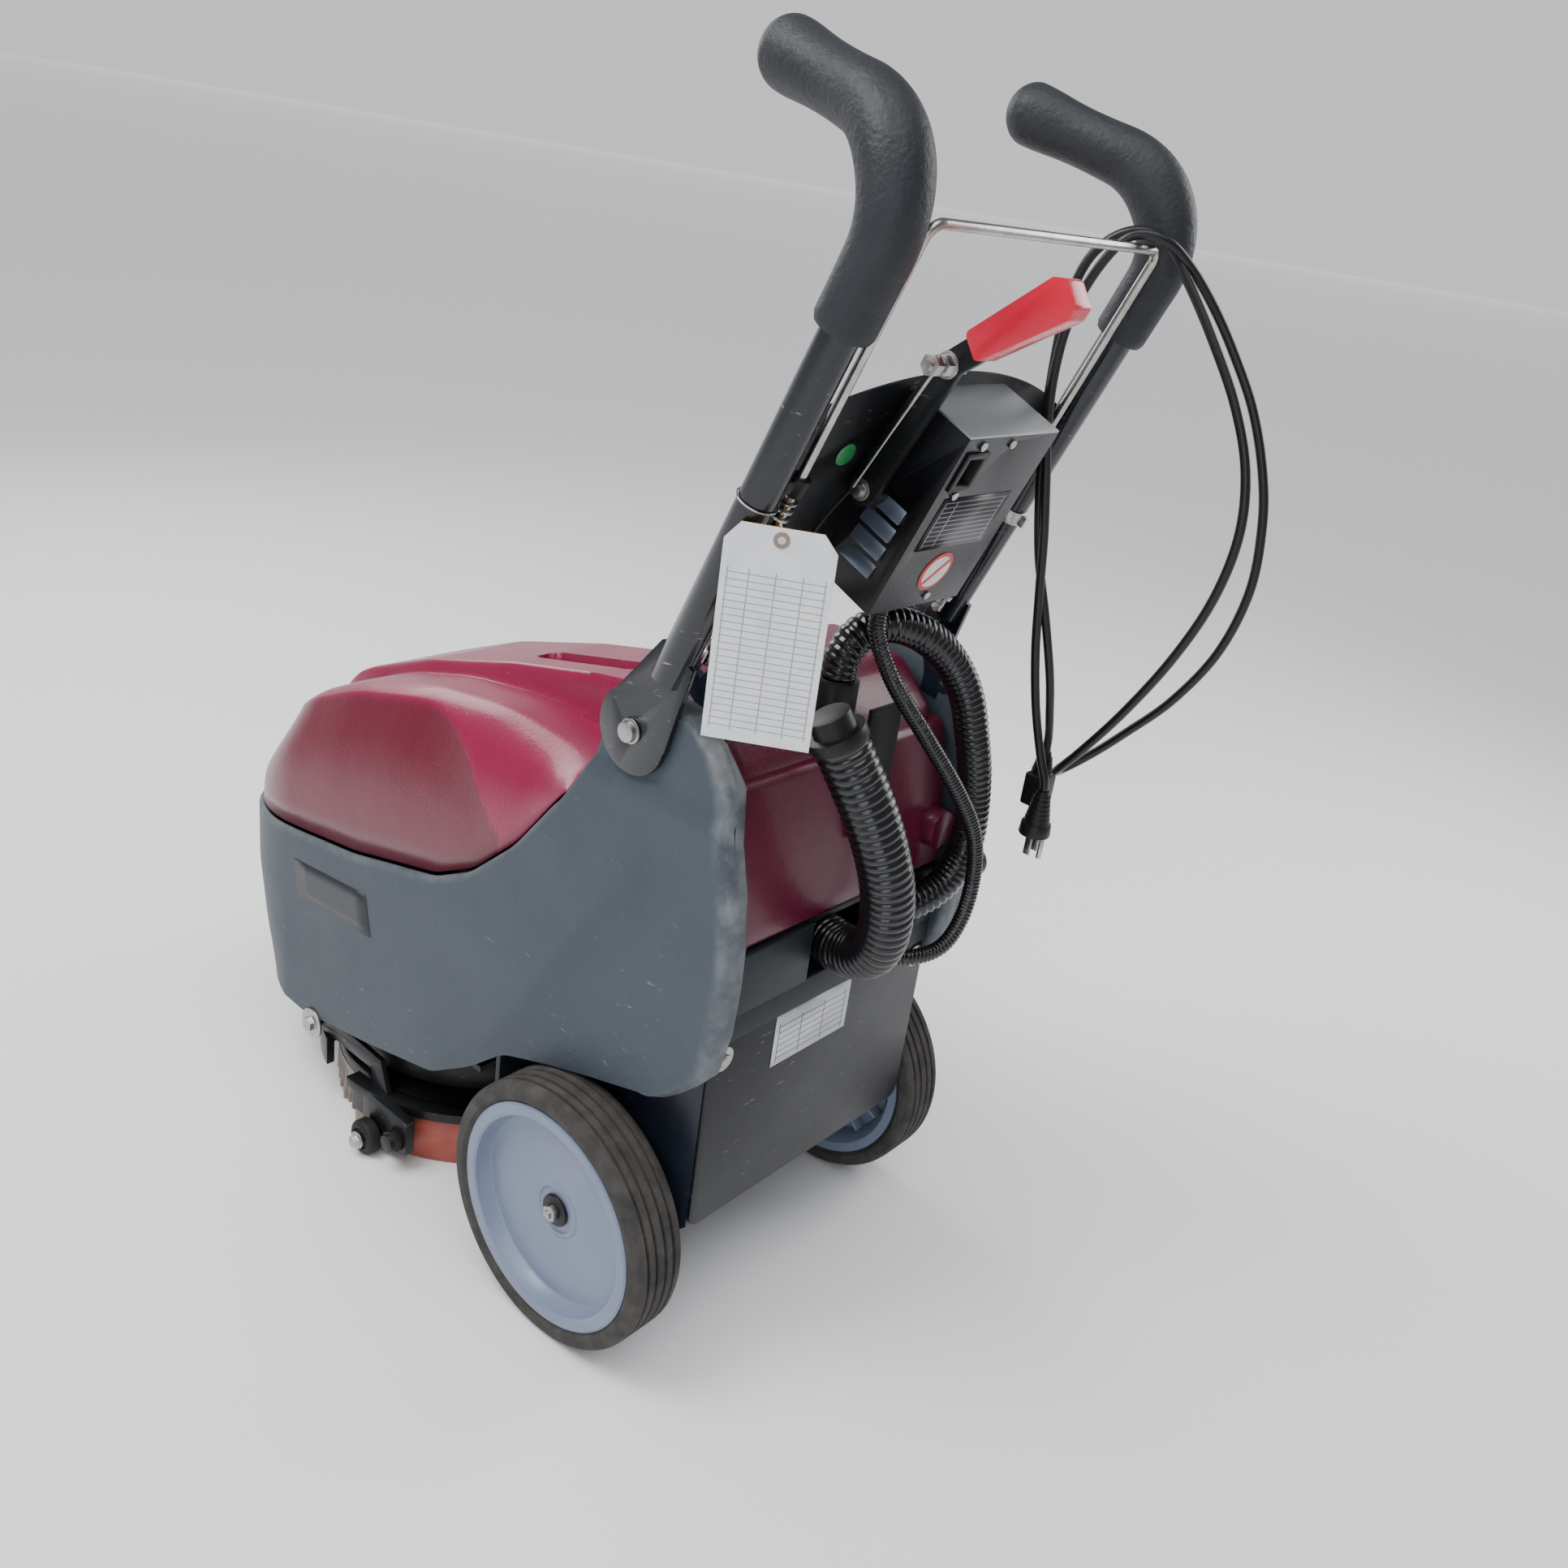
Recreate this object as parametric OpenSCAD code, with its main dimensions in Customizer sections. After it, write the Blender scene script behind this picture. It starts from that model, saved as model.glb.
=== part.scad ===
// Compact walk-behind floor scrubber, millimetres.
// +Z up, the nose points to -Y, the machine's left side is +X.
// Below, y is counted from the axle; placed() moves the origin to mid-length on the floor.

/* [Wheels] */
// Outside diameter of the tyres
wheel_d = 240; // [216:1:264]
// Width of a tyre
tyre_w = 52; // [44:1:60]
// Width over both tyres
track_w = 410; // [404:1:440]
// Diameter of the rim under the tyre
rim_d = 206; // [190:1:212]
// Diameter of the fixed axle
axle_d = 17; // [12:1:20]

/* [Body] */
// Width of the moulded base
body_w = 344; // [330:1:356]
// Distance from the axle to the front of the nose
nose_reach = 620; // [600:1:744]
// Wall thickness of the moulded base
shell_wall = 6; // [4:0.5:8]
// Height of the shelf that carries the rear tank
shelf_h = 402; // [390:1:410]
// Width of the rear tank
tank_w = 278; // [230:1:279]
// Wall thickness of both tanks
tank_wall = 5; // [3:0.5:6]
// Thickness of the rear cover sheet
cover_t = 2.5; // [1:0.5:4]

/* [Brush and squeegee] */
// Outside diameter of the bristles
brush_d = 316; // [260:1:320]
// Height of the bristles
bristle_h = 45; // [38:1:48]
// Distance from the axle to the brush centre
brush_reach = 328; // [310:1:340]
// Diameter of the squeegee rollers
roller_d = 36; // [30:1:42]
// Thickness of a squeegee blade
blade_t = 3; // [2:0.5:3.5]

/* [Handle] */
// Height of the handle pivot
pivot_h = 567; // [560:1:575]
// Distance of the handle pivot behind the axle
pivot_back = 18; // [10:1:26]
// Lean of the parked handle from upright, degrees
lean = 23; // [15:1:30]
// Diameter of the handle tubes
tube_d = 26.6; // [22:0.1:30]
// Distance from the mid-plane to a handle tube
tube_x = 169; // [169:0.5:176]
// Outside diameter of the foam grips
grip_d = 40; // [34:1:46]
// Height along the handle at which the grips start
grip_start = 340; // [330:1:400]
// Diameter of the release bar
bar_d = 7; // [5:0.5:8]
// Width of the charger box
box_w = 112; // [100:1:118]
// Length of the charger box along the handle
box_l = 153; // [140:1:153]
// Depth of the charger box
box_t = 58; // [48:1:60]

/* [Hoses and lead] */
// Outside diameter of the suction hose
suction_d = 30; // [24:1:32]
// Outside diameter of the drain hose
drain_d = 43; // [36:1:44]
// Outside diameter of the cable conduit
conduit_d = 14; // [10:1:15]
// Diameter of the mains lead
lead_d = 7.5; // [6:0.5:8]

/* [Hidden] */
$fn = 64;
e = 1;                                   // overshoot of a cut
run = 0.05;                              // radial clearance of a turning fit
gap = 0.3;                               // clearance of pieces that pass each other

axle_z = wheel_d / 2;
half_w = body_w / 2;
nose_r = half_w;                         // the nose is a half circle in plan
nose_cy = nose_r - nose_reach;
rear_y = 112;                            // rear wall of the base
horn_half = 166.4;                       // half width beside the handle brackets
horn_cut_z = 526;                        // the base narrows above this height
floor_z = 165;                           // top of the base's inner floor
rim_band = [-60, 60];                    // width of the raised nose band
hinge_y = 8 - nose_reach;
hinge_z = 266;
brush_y = -brush_reach;

// ---------- the row's frame ----------

// the origin moves from under the axle to the middle of the machine's length
rear_reach = pivot_back + 87.4 * cos(lean) + 409.5 * sin(lean);
frame_shift = (nose_reach - rear_reach) / 2;

module placed() translate([0, frame_shift, 0]) children();

// ---------- outlines ----------

// side view of the base: nose, rim, handle horn, rear edge, wheel arch, belly
base_side = [
    [-583, 98], [-606, 150], [-nose_reach, 215], [-nose_reach, 262], [-532, 278], [-430, 292],
    [-335, 308], [-210, 341], [-160, 368], [-105, 418], [-52, 485], [-20, 535], [-14, 575],
    [2, 595], [24, 601], [66, 592], [91, 576], [109, 550], [124, 480], [131, 414], [128, 350],
    [121, 307], [105, 292], [89, 276], [0, 248], [-42, 234], [-105, 211], [-150, 172],
    [-200, 140], [-300, 115], [-411, 92], [-495, 95]
];

// side view of the raised band on the nose
band_side = [[-nose_reach, 240], [-nose_reach, 262], [-600, 305], [-560, 355], [-530, 386], [-530, 240]];

// side view of the lid: it rests on the rim and climbs to the hump in front of the handle
lid_side = [
    [3 - nose_reach, 266], [-532, 281], [-430, 295], [-335, 311], [-210, 344], [-160, 371],
    [-105, 421], [-56, 485], [-48, 500], [-48, 545], [-150, 534], [-260, 508], [-383, 470],
    [-480, 428], [-560, 362], [6 - nose_reach, 290]
];

module plan(inset = 0) {
    translate([0, nose_cy]) circle(r = nose_r - inset, $fn = 128);
    translate([inset - half_w, nose_cy]) square([body_w - 2 * inset, 140 - nose_cy]);
}

// extrudes a (y, z) outline along X between two planes
module side_slab(outline, x0, x1) {
    translate([x0, 0, 0]) rotate([90, 0, 90]) linear_extrude(x1 - x0) polygon(outline);
}

module box(from, to) {
    translate(from) cube(to - from);
}

module xrod(x0, x1, r, at) {
    translate([x0, at[0], at[1]]) rotate([0, 90, 0]) cylinder(r = r, h = x1 - x0);
}

module both_sides() {
    children();
    mirror([1, 0, 0]) children();
}

// ---------- swept round bars ----------

function unit(v) = v / norm(v);
function tangents(p) = [for (i = [0 : len(p) - 1])
    unit(p[min(i + 1, len(p) - 1)] - p[max(i - 1, 0)])];
function carried(n, t) = unit(n - (n * t) * t);
function normals(t) = [for (i = 0, n = carried([1, 0.1, 0], t[0]); i < len(t);
    i = i + 1, n = i < len(t) ? carried(n, t[i]) : n) n];

function ring_r(d, i, last, tip) = d / 2 * (i > last - len(tip) ? tip[i - last + len(tip) - 1] : 1);

// tip lists the radius shares of the last rings, for a rounded end
module sweep(path, d, sides, tip = []) {
    t = tangents(path);
    n = normals(t);
    last = len(path) - 1;
    points = [for (i = [0 : last], k = [0 : sides - 1]) path[i] + ring_r(d, i, last, tip)
        * (cos(360 * k / sides) * n[i] + sin(360 * k / sides) * cross(t[i], n[i]))];
    walls = [for (i = [0 : last - 1], k = [0 : sides - 1])
        [i * sides + k, (i + 1) * sides + k, (i + 1) * sides + (k + 1) % sides, i * sides + (k + 1) % sides]];
    start = [for (k = [0 : sides - 1]) k];
    end = [for (k = [sides - 1 : -1 : 0]) last * sides + k];
    polyhedron(points = points, faces = concat([start], walls, [end]));
}

// a sweep with a bore that ends where the tip begins, as one closed surface
module sleeve(path, d, bore, sides, tip) {
    t = tangents(path);
    n = normals(t);
    last = len(path) - 1;
    inner = last - len(tip);
    rings = concat([for (i = [inner : -1 : 0]) [i, bore / 2]], [for (i = [0 : last]) [i, ring_r(d, i, last, tip)]]);
    count = len(rings);
    points = [for (g = rings, k = [0 : sides - 1]) path[g[0]] + g[1]
        * (cos(360 * k / sides) * n[g[0]] + sin(360 * k / sides) * cross(t[g[0]], n[g[0]]))];
    walls = [for (i = [0 : count - 2], k = [0 : sides - 1])
        [i * sides + k, (i + 1) * sides + k, (i + 1) * sides + (k + 1) % sides, i * sides + (k + 1) % sides]];
    start = [for (k = [0 : sides - 1]) k];
    end = [for (k = [sides - 1 : -1 : 0]) (count - 1) * sides + k];
    polyhedron(points = points, faces = concat([start], walls, [end]));
}

// ---------- base, tanks and covers ----------

bay_half = 142;                          // inside half width of the rear bays

module base_shell() color("#4b5158") placed() {
    base_hull();
    // plate in the hose recess that carries the hose stubs
    box([recess_lo[0] - 6, 54, 350], [recess_hi[0] + 6, 60, shelf_h - shell_wall]);
}

module base_hull() difference() {
    union() {
        intersection() {
            linear_extrude(700) plan();
            side_slab(base_side, -half_w, half_w);
        }
        intersection() {
            linear_extrude(700) plan();
            side_slab(band_side, rim_band[0], rim_band[1]);
        }
    }
    // front bay under the lid
    intersection() {
        translate([0, 0, floor_z]) linear_extrude(600) plan(shell_wall);
        box([-200, -nose_reach, floor_z], [200, -50, 700]);
    }
    // space for the brush deck under the floor
    intersection() {
        linear_extrude(floor_z - shell_wall) plan(shell_wall);
        box([-200, -nose_reach, 0], [200, -116, floor_z]);
    }
    box([-bay_half, -110, 0], [bay_half, rear_y - 8, shelf_h - shell_wall]);
    box([-bay_half, -110, 0], [bay_half, rear_y + 40, cover_top + gap]);
    box([1 - bay_half, -50 - e, shelf_h], [bay_half - 1, 200, 700]);
    box([-bay_half, rear_y, 0], [bay_half, 200, shelf_h + e]);
    box(recess_lo, recess_hi);
    both_sides() box([horn_half, -60, horn_cut_z], [half_w + e, 140, 700]);
    // bore of the lid's hinge pin and room for the lid's ears
    xrod(-ear_out, ear_out, lid_pin_r, [hinge_y, hinge_z]);
    both_sides() xrod(rim_band[1], ear_out + e, ear_r + 0.8, [hinge_y, hinge_z]);
    translate([0, brush_y, floor_z - shell_wall - e]) cylinder(r = motor_r + 4, h = shell_wall + 2 * e);
    xrod(-half_w - e, half_w + e, pivot_bolt_r + run, [pivot_back, pivot_h]);
    xrod(-half_w - e, half_w + e, deck_bolt_r + run, deck_pivot);
}

recess_lo = [-112, 50, 350];
recess_hi = [37, 200, shelf_h + 1];

// rear tank: a drafted box with a stepped, domed top
tank_half = tank_w / 2;
tank_low = [[-44, shelf_h], [110, shelf_h], [112, 424], [89, 539], [-44, 539]];
tank_high = [[-44, 534], [84, 534], [79, 552], [44, 586], [-44, 590]];

module recovery_tank() color("#6e1330") placed() difference() {
    union() {
        side_slab(tank_low, -tank_half, tank_half);
        side_slab(tank_high, -tank_half + 13, tank_half - 13);
        xrod_y([-119, 445], 19, 95, 118);
    }
    side_slab([[tank_wall - 44, shelf_h + tank_wall], [104, shelf_h + tank_wall], [105, 424],
        [83, 533], [76, 548], [42, 581], [tank_wall - 44, 584]], 18 - tank_half, tank_half - 18);
    translate(cuff_at) translate([0, 0, -30]) cylinder(r = suction_d / 2 - 3, h = 60);
}

// a rod along +Y from y0 to y1 at (x, z)
module xrod_y(at, r, y0, y1) {
    translate([at[0], y0, at[1]]) rotate([-90, 0, 0]) cylinder(r = r, h = y1 - y0);
}

lid_pin_r = 2.5;
ear_r = 4.5;
ear_out = rim_band[1] + 7;

module lid_pin() color("silver") placed() xrod(-ear_out, ear_out, lid_pin_r, [hinge_y, hinge_z]);

module tank_lid() color("#a3294a") placed() {
    lid_hull();
    // hinge ears on both sides of the nose band
    both_sides() difference() {
        union() {
            xrod(rim_band[1] + gap, ear_out, ear_r, [hinge_y, hinge_z]);
            box([rim_band[1] + gap, hinge_y, hinge_z + 1], [ear_out, hinge_y + 14, hinge_z + 8]);
        }
        xrod(rim_band[1] - e, ear_out + e, lid_pin_r + run, [hinge_y, hinge_z]);
    }
}

module lid_hull() difference() {
    intersection() {
        translate([0, 0, 200]) linear_extrude(400) plan(4);
        side_slab(lid_side, -half_w, half_w);
    }
    intersection() {
        translate([0, 0, 200]) linear_extrude(400) plan(4 + tank_wall);
        translate([0, 0, -tank_wall]) side_slab(lid_side, -half_w, half_w);
        box([-200, 20 - nose_reach, 200], [200, -48 - tank_wall, 600]);
    }
    // the lid straddles the nose band
    box([rim_band[0] - gap, -nose_reach - e, 200], [rim_band[1] + gap, -530 + gap, 387]);
    // grip slot at the back of the hump
    translate([0, 0, 0]) hull() {
        for (y = [-255, -150]) translate([25, y, 478]) cylinder(r = 12, h = 80, $fn = 32);
    }
}

cover_top = 324;
cover_bottom = 145;

module rear_cover() color("#1d1f20") placed() difference() {
    translate([0, rear_y - 6, 0]) rotate([90, 0, 0]) translate([0, 0, -cover_t]) linear_extrude(cover_t)
        offset(r = 12) offset(delta = -12)
            translate([0.4 - bay_half, cover_bottom]) square([2 * bay_half - 0.8, cover_top - cover_bottom]);
    for (x = cover_bolt_x) xrod_y([x, cover_bolt_z], 3.3, 90, 130);
}

cover_bolt_x = [-127, 127];
cover_bolt_z = 309;

module rear_cover_bolts() color("silver") placed() for (x = cover_bolt_x) {
    xrod_y([x, cover_bolt_z], 3.25, 98, rear_y - 6 + cover_t);
    xrod_y([x, cover_bolt_z], 7, rear_y - 6 + cover_t, rear_y - 5 + cover_t);
    xrod_y([x, cover_bolt_z], 5.5, rear_y - 5 + cover_t, rear_y - 2 + cover_t);
}

// ---------- chassis, axle, wheels ----------

plate_t = 5;
plate_out = bay_half - 1;
chassis_side = [
    [-109, 150], [-109, 206], [-60, 226], [40, 256], [100, cover_top - 4], [105, cover_top - 4],
    [105, cover_bottom], [60, 98], [-50, 98]
];

module chassis_frame() color("#1b2330") placed() difference() {
    union() {
        both_sides() side_slab(chassis_side, plate_out - plate_t, plate_out);
        box([-plate_out, -109, 150], [plate_out, 104, 154]);
        box([-plate_out, -109, 150], [plate_out, -105, 206]);
        // flanges that take the cover bolts
        both_sides() box([plate_out - 30, 100, 290], [plate_out, 105, 320]);
    }
    xrod(-150, 150, axle_d / 2 + run, [0, axle_z]);
    for (x = cover_bolt_x) xrod_y([x, cover_bolt_z], 3.3, 90, 130);
}

axle_end = track_w / 2 - 17;             // the axle stops inside the hub recess

module axle() color("silver") placed() xrod(-axle_end, axle_end, axle_d / 2, [0, axle_z]);

module axle_bolts() color("silver") placed() both_sides() {
    xrod(axle_end, axle_end + 2, 15, [0, axle_z]);
    translate([axle_end + 2, 0, axle_z]) rotate([0, 90, 0]) cylinder(r = 8, h = 6, $fn = 6);
    xrod(axle_end + 8, axle_end + 10, 4, [0, axle_z]);
}

wheel_in = track_w / 2 - tyre_w;         // inner face of a tyre
tyre_r = wheel_d / 2;
rim_r = rim_d / 2;
hub_r = 24;

module tyre() translate([wheel_in, 0, axle_z]) rotate([0, 90, 0]) rotate_extrude($fn = 128) polygon([
    [rim_r, 0], [tyre_r - 8, 0], [tyre_r - 2, 4], [tyre_r, 9], [tyre_r, tyre_w - 9],
    [tyre_r - 2, tyre_w - 4], [tyre_r - 8, tyre_w], [rim_r, tyre_w]
]);

module rim() translate([wheel_in, 0, axle_z]) rotate([0, 90, 0]) rotate_extrude($fn = 128) polygon([
    [axle_d / 2 + run, -6], [hub_r, -6], [hub_r, tyre_w - 22], [rim_r - 11, tyre_w - 16],
    [rim_r - 11, 4], [rim_r, 4], [rim_r, tyre_w - 3], [rim_r - 8, tyre_w - 3], [rim_r - 13, tyre_w - 8],
    [42, tyre_w - 6], [32, tyre_w - 3], [hub_r, tyre_w - 3], [hub_r, tyre_w - 17.2],
    [axle_d / 2 + run, tyre_w - 17.2]
]);

module left_tyre() color("#4a4844") placed() tyre();
module left_rim() color("#8f9cb8") placed() rim();
module right_tyre() color("#4a4844") placed() mirror([1, 0, 0]) tyre();
module right_rim() color("#8f9cb8") placed() mirror([1, 0, 0]) rim();

module battery() color("#2c2d30") placed() {
    box([-100, -100, 154], [100, 95, 330]);
    for (x = [-70, 70]) translate([x, 60, 330]) cylinder(r = 8, h = 14);
}

module vacuum_motor() color("#3c3f42") placed() {
    translate([0, -500, floor_z]) cylinder(r = 60, h = 60);
    translate([0, -500, floor_z + 60]) cylinder(r = 42, h = 40);
}

// ---------- brush deck ----------

motor_r = 52;
shaft_r = 10;
deck_bolt_r = 5;
deck_pivot = [-395, 88];                 // (y, z) of the squeegee arms' bolts
deck_r = 150;
deck_z = 76;                             // underside of the deck plate
skirt_r = 175;

module brush_motor() color("#2b2b2e") placed() {
    translate([0, brush_y, 116]) cylinder(r = motor_r, h = 110);
    translate([0, brush_y, bristle_h + 3]) cylinder(r = shaft_r, h = 116 - bristle_h - 3);
}

module brush_deck() color("#191a1c") placed() difference() {
    union() {
        translate([0, brush_y, deck_z]) cylinder(r = deck_r, h = 26);
        translate([0, brush_y, deck_z + 26]) cylinder(r1 = deck_r, r2 = 80, h = 14);
        intersection() {
            translate([0, brush_y, bristle_h]) cylinder(r = skirt_r, h = deck_z - bristle_h);
            box([-200, -nose_reach, 0], [200, brush_y - 48, 200]);
        }
        both_sides() box([100, deck_pivot[0] - 12, deck_z], [arm_in - 1.5, deck_pivot[0] + 12, 102]);
        // posts that hang the deck from the floor of the base
        both_sides() for (y = [-390, -260]) translate([90, y, 98]) cylinder(r = 9, h = floor_z - shell_wall - 98);
    }
    translate([0, brush_y, bristle_h - e]) cylinder(r = skirt_r - 8, h = deck_z - 6 - bristle_h + e);
    translate([0, brush_y, deck_z - 7]) cylinder(r = deck_r - 6, h = 27);
    translate([0, brush_y, deck_z]) cylinder(r = shaft_r + 4, h = 60);
    xrod(-200, 200, deck_bolt_r + run, deck_pivot);
    translate([fitting_at[0], fitting_at[1], 60]) cylinder(r = 6.1, h = 60);
}

fitting_at = [95, -428];

module water_fitting() color("silver") placed() translate([fitting_at[0], fitting_at[1], 96]) {
    cylinder(r = 6, h = 26);
    translate([0, 0, 11]) cylinder(r = 10, h = 7, $fn = 6);
    translate([0, 0, 22]) rotate([0, 90, -50]) cylinder(r = 5, h = 26);
}

arm_in = 159;                            // inner face of a squeegee arm
arm_t = 5;

module deck_pivot_bolts() color("silver") placed() both_sides() {
    xrod(arm_in - 9, half_w, deck_bolt_r, deck_pivot);
    xrod(half_w, half_w + 2.5, 16, deck_pivot);
    translate([half_w + 2.5, deck_pivot[0], deck_pivot[1]]) rotate([0, 90, 0]) cylinder(r = 8, h = 5.5, $fn = 6);
}

hub_hole = shaft_r + run;
disc_r = brush_d / 2 - 2;

module brush_disc() color("#26282b") placed() translate([0, brush_y, 0]) difference() {
    union() {
        translate([0, 0, bristle_h]) cylinder(r = disc_r, h = 14, $fn = 128);
        translate([0, 0, bristle_h + 14]) cylinder(r = 40, h = 8);
    }
    translate([0, 0, bristle_h - e]) cylinder(r = hub_hole, h = 40);
    for (a = [0 : 60 : 300]) rotate([0, 0, a]) translate([70, 0, bristle_h - e]) cylinder(r = 14, h = 40);
}

module brush_bristles() color("#a79c98") placed() translate([0, brush_y, 0]) rotate_extrude($fn = 128)
    polygon([[92, 0], [brush_d / 2, 0], [brush_d / 2 - 3, bristle_h], [92, bristle_h]]);

// ---------- squeegee ----------

blade_in = brush_d / 2 + 5;              // inner radius of the inner blade
band_t = 3;
band_out = blade_in + 2 * blade_t + band_t;
squeegee_front = 0;                      // degrees behind the cross axis where the band starts

// a ring round the brush centre, kept only behind the brush
module rear_ring(r0, r1, z0, z1) translate([0, brush_y, z0]) intersection() {
    difference() {
        cylinder(r = r1, h = z1 - z0, $fn = 128);
        translate([0, 0, -e]) cylinder(r = r0, h = z1 - z0 + 2 * e, $fn = 128);
    }
    translate([-250, squeegee_front, -e]) cube([500, 250, z1 - z0 + 2 * e]);
}

roller_r = roller_d / 2;
roller_at = [-285, roller_r];            // (y, z) of the side rollers
roller_x = 174.5;
roller_w = 16;
knob_at = [-246, 34];

module squeegee_frame() color("#1c1d1f") placed() difference() {
    union() {
        rear_ring(blade_in - 1, band_out + 5, 52, 62);
        rear_ring(blade_in + blade_t, blade_in + blade_t + band_t, 22, 52);
        // arms from the front bolts to the ring
        both_sides() {
            side_slab([[-409, 86], [-403, 100], [-388, 101], [-290, 96], [-276, 60], [-262, 53],
                [-300, 53], [-306, 79], [-392, 78], [-403, 80]], arm_in, arm_in + arm_t);
            // ears that carry the rollers and the knobs
            intersection() {
                side_slab([[-304, 30], [-304, 60], [-232, 60], [-232, 22], [-266, 8], [-292, 8]],
                    arm_in + arm_t, roller_x - 1.2);
                translate([0, brush_y, 0]) difference() {
                    cylinder(r = 250, h = 80, $fn = 128);
                    translate([0, 0, -e]) cylinder(r = band_out, h = 90, $fn = 128);
                }
            }
            side_slab([[-304, 40], [-304, 60], [-232, 60], [-232, 40]], arm_in + arm_t, roller_x - 1.2);
        }
    }
    translate([0, brush_y, 0]) cylinder(r = blade_in + blade_t - 0.05, h = 51.9, $fn = 128);
    xrod(-200, 200, deck_bolt_r + run, deck_pivot);
    xrod(-200, 200, 4, roller_at);
    xrod(-200, 200, 3, knob_at);
}

module inner_blade() color("#8a7466") placed() rear_ring(blade_in, blade_in + blade_t - 0.05, 1, 51.9);

module outer_blade() color("#a8402f") placed() difference() {
    rear_ring(blade_in + blade_t + band_t, band_out, 1, 52);
    both_sides() box([arm_in + 1, brush_y - 2, 0], [250, -232, 62]);
}

module squeegee_knobs() color("#141414") placed() both_sides() {
    xrod(roller_x - 12, roller_x - 1.2, 2.95, knob_at);
    translate([roller_x - 1.2, knob_at[0], knob_at[1]]) rotate([0, 90, 0]) {
        cylinder(r = 12, h = 9, $fn = 6);
        translate([0, 0, 9]) cylinder(r = 9, h = 4);
    }
}

module roller_bolts() color("silver") placed() both_sides() {
    xrod(roller_x - 13, roller_x + roller_w + 2, 3.95, roller_at);
    xrod(roller_x + roller_w + 0.2, roller_x + roller_w + 2, 9, roller_at);
    translate([roller_x + roller_w + 2, roller_at[0], roller_at[1]]) rotate([0, 90, 0])
        cylinder(r = 6.5, h = 5, $fn = 6);
}

module roller() translate([roller_x - 1, roller_at[0], roller_at[1]]) rotate([0, 90, 0]) rotate_extrude()
    polygon([[4, 0], [roller_r - 4, 0], [roller_r, 3], [roller_r, roller_w - 3], [roller_r - 4, roller_w],
        [11, roller_w], [10, roller_w - 3], [4, roller_w - 3]]);

module left_roller() color("#161616") placed() roller();
module right_roller() color("#161616") placed() mirror([1, 0, 0]) roller();

// ---------- hoses ----------

cuff_at = [15, 78, 552];
suction_path = [
    [15, 78, 602], [14, 80, 620], [4, 86, 638], [-20, 96, 645], [-52, 108, 634], [-80, 118, 611],
    [-99, 127, 581], [-109, 133, 548], [-117, 138, 515], [-123, 140, 482], [-125, 141, 450],
    [-123, 138, 422], [-112, 132, 400], [-92, 122, 385], [-72, 108, 378], [-62, 88, 376],
    [-62, 60.6, 376]
];
drain_path = [
    [8, 60.8, 376], [8, 84, 376], [10, 106, 376], [16, 130, 379], [24, 154, 390], [31, 170, 410], [38, 178, 438],
    [46, 179, 470], [57, 175, 503], [70, 168, 535], [83, 159, 564], [94, 149, 590]
];
conduit_path = [
    [16, 112, 677], [16, 108, 664], [14, 110, 642], [5, 126, 609], [-22, 146, 566], [-56, 163, 517],
    [-80, 172, 475], [-88, 175, 432], [-80, 176, 396], [-62, 172, 373], [-42, 156, 363],
    [-33, 132, 361], [-30, 104, 361], [-30, 60.2, 361]
];
drain_end = unit([11, -10, 26]);

module suction_hose() color("#151515") placed() sweep(suction_path, suction_d, 12);
module drain_hose() color("#151515") placed() sweep(drain_path, drain_d, 12);
module cable_conduit() color("#151515") placed() sweep(conduit_path, conduit_d, 10);

module suction_cuff() color("#1b1b1b") placed() intersection() {
    translate(cuff_at) difference() {
        cylinder(r = suction_d / 2 + 3, h = 48);
        translate([0, 0, -e]) cylinder(r = suction_d / 2 - 3, h = 60);
    }
    // the foot follows the sloping dome of the tank
    side_slab([[40, 589.8], [44, 586.05], [79, 552.05], [82.7, 539], [140, 539], [140, 610], [40, 610]], -60, 90);
}

// cap on the free end of the drain hose
module drain_plug() color("#1b1b1b") placed() translate(drain_path[len(drain_path) - 1])
    rotate([0, acos(drain_end[2]), atan2(drain_end[1], drain_end[0])]) {
        translate([0, 0, 0.2]) cylinder(r = drain_d / 2 + 1.5, h = 10);
        translate([0, 0, 10]) cylinder(r = drain_d / 2 - 5, h = 14);
    }

clip_x = [-38, 2];
clip_y = 104;

module hose_clip() color("#1a1b1d") placed() {
    box([clip_x[0], clip_y, 466], [clip_x[1], clip_y + 4, 580]);
    side_slab([[103.3, 468], [98.2, 493.4], [clip_y, 493.4], [clip_y, 468]], clip_x[0], clip_x[1]);
}

module side_latch() color("#17181a") placed() {
    xrod(-half_w - 12, -half_w, 15, [118, 396]);
    translate([-half_w - 12, 118, 396]) rotate([0, -90, 0]) cylinder(r = 7, h = 4, $fn = 6);
}

// ---------- handle ----------

// the handle's own frame: origin on the pivot, Z along the tubes, Y to the rear
module on_handle() translate([0, pivot_back, pivot_h]) rotate([-lean, 0, 0]) children();

tube_r = tube_d / 2;
tube_v = 7;                              // the tubes stand a little behind the pivot
tube_foot = 58;
bend_start = 400;
bend_r = 50;
bend_angle = 98;
bar_reach = 92;
splay = 12.6;                            // the bar ends turn inwards
pivot_bolt_r = 6;
plate_r = 34;
bracket_x = tube_x - 2;

// line of a handle bar: up, forward round the bend, then straight for each length of ends
function bar_path(from, ends) = concat([[0, 0, from]],
    [for (a = [0 : bend_angle / 12 : bend_angle])
        [0, bend_r * (cos(a) - 1), bend_start + bend_r * sin(a)]],
    [for (l = ends) [0, bend_r * (cos(bend_angle) - 1) - l * sin(bend_angle),
        bend_start + bend_r * sin(bend_angle) + l * cos(bend_angle)]]);

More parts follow.
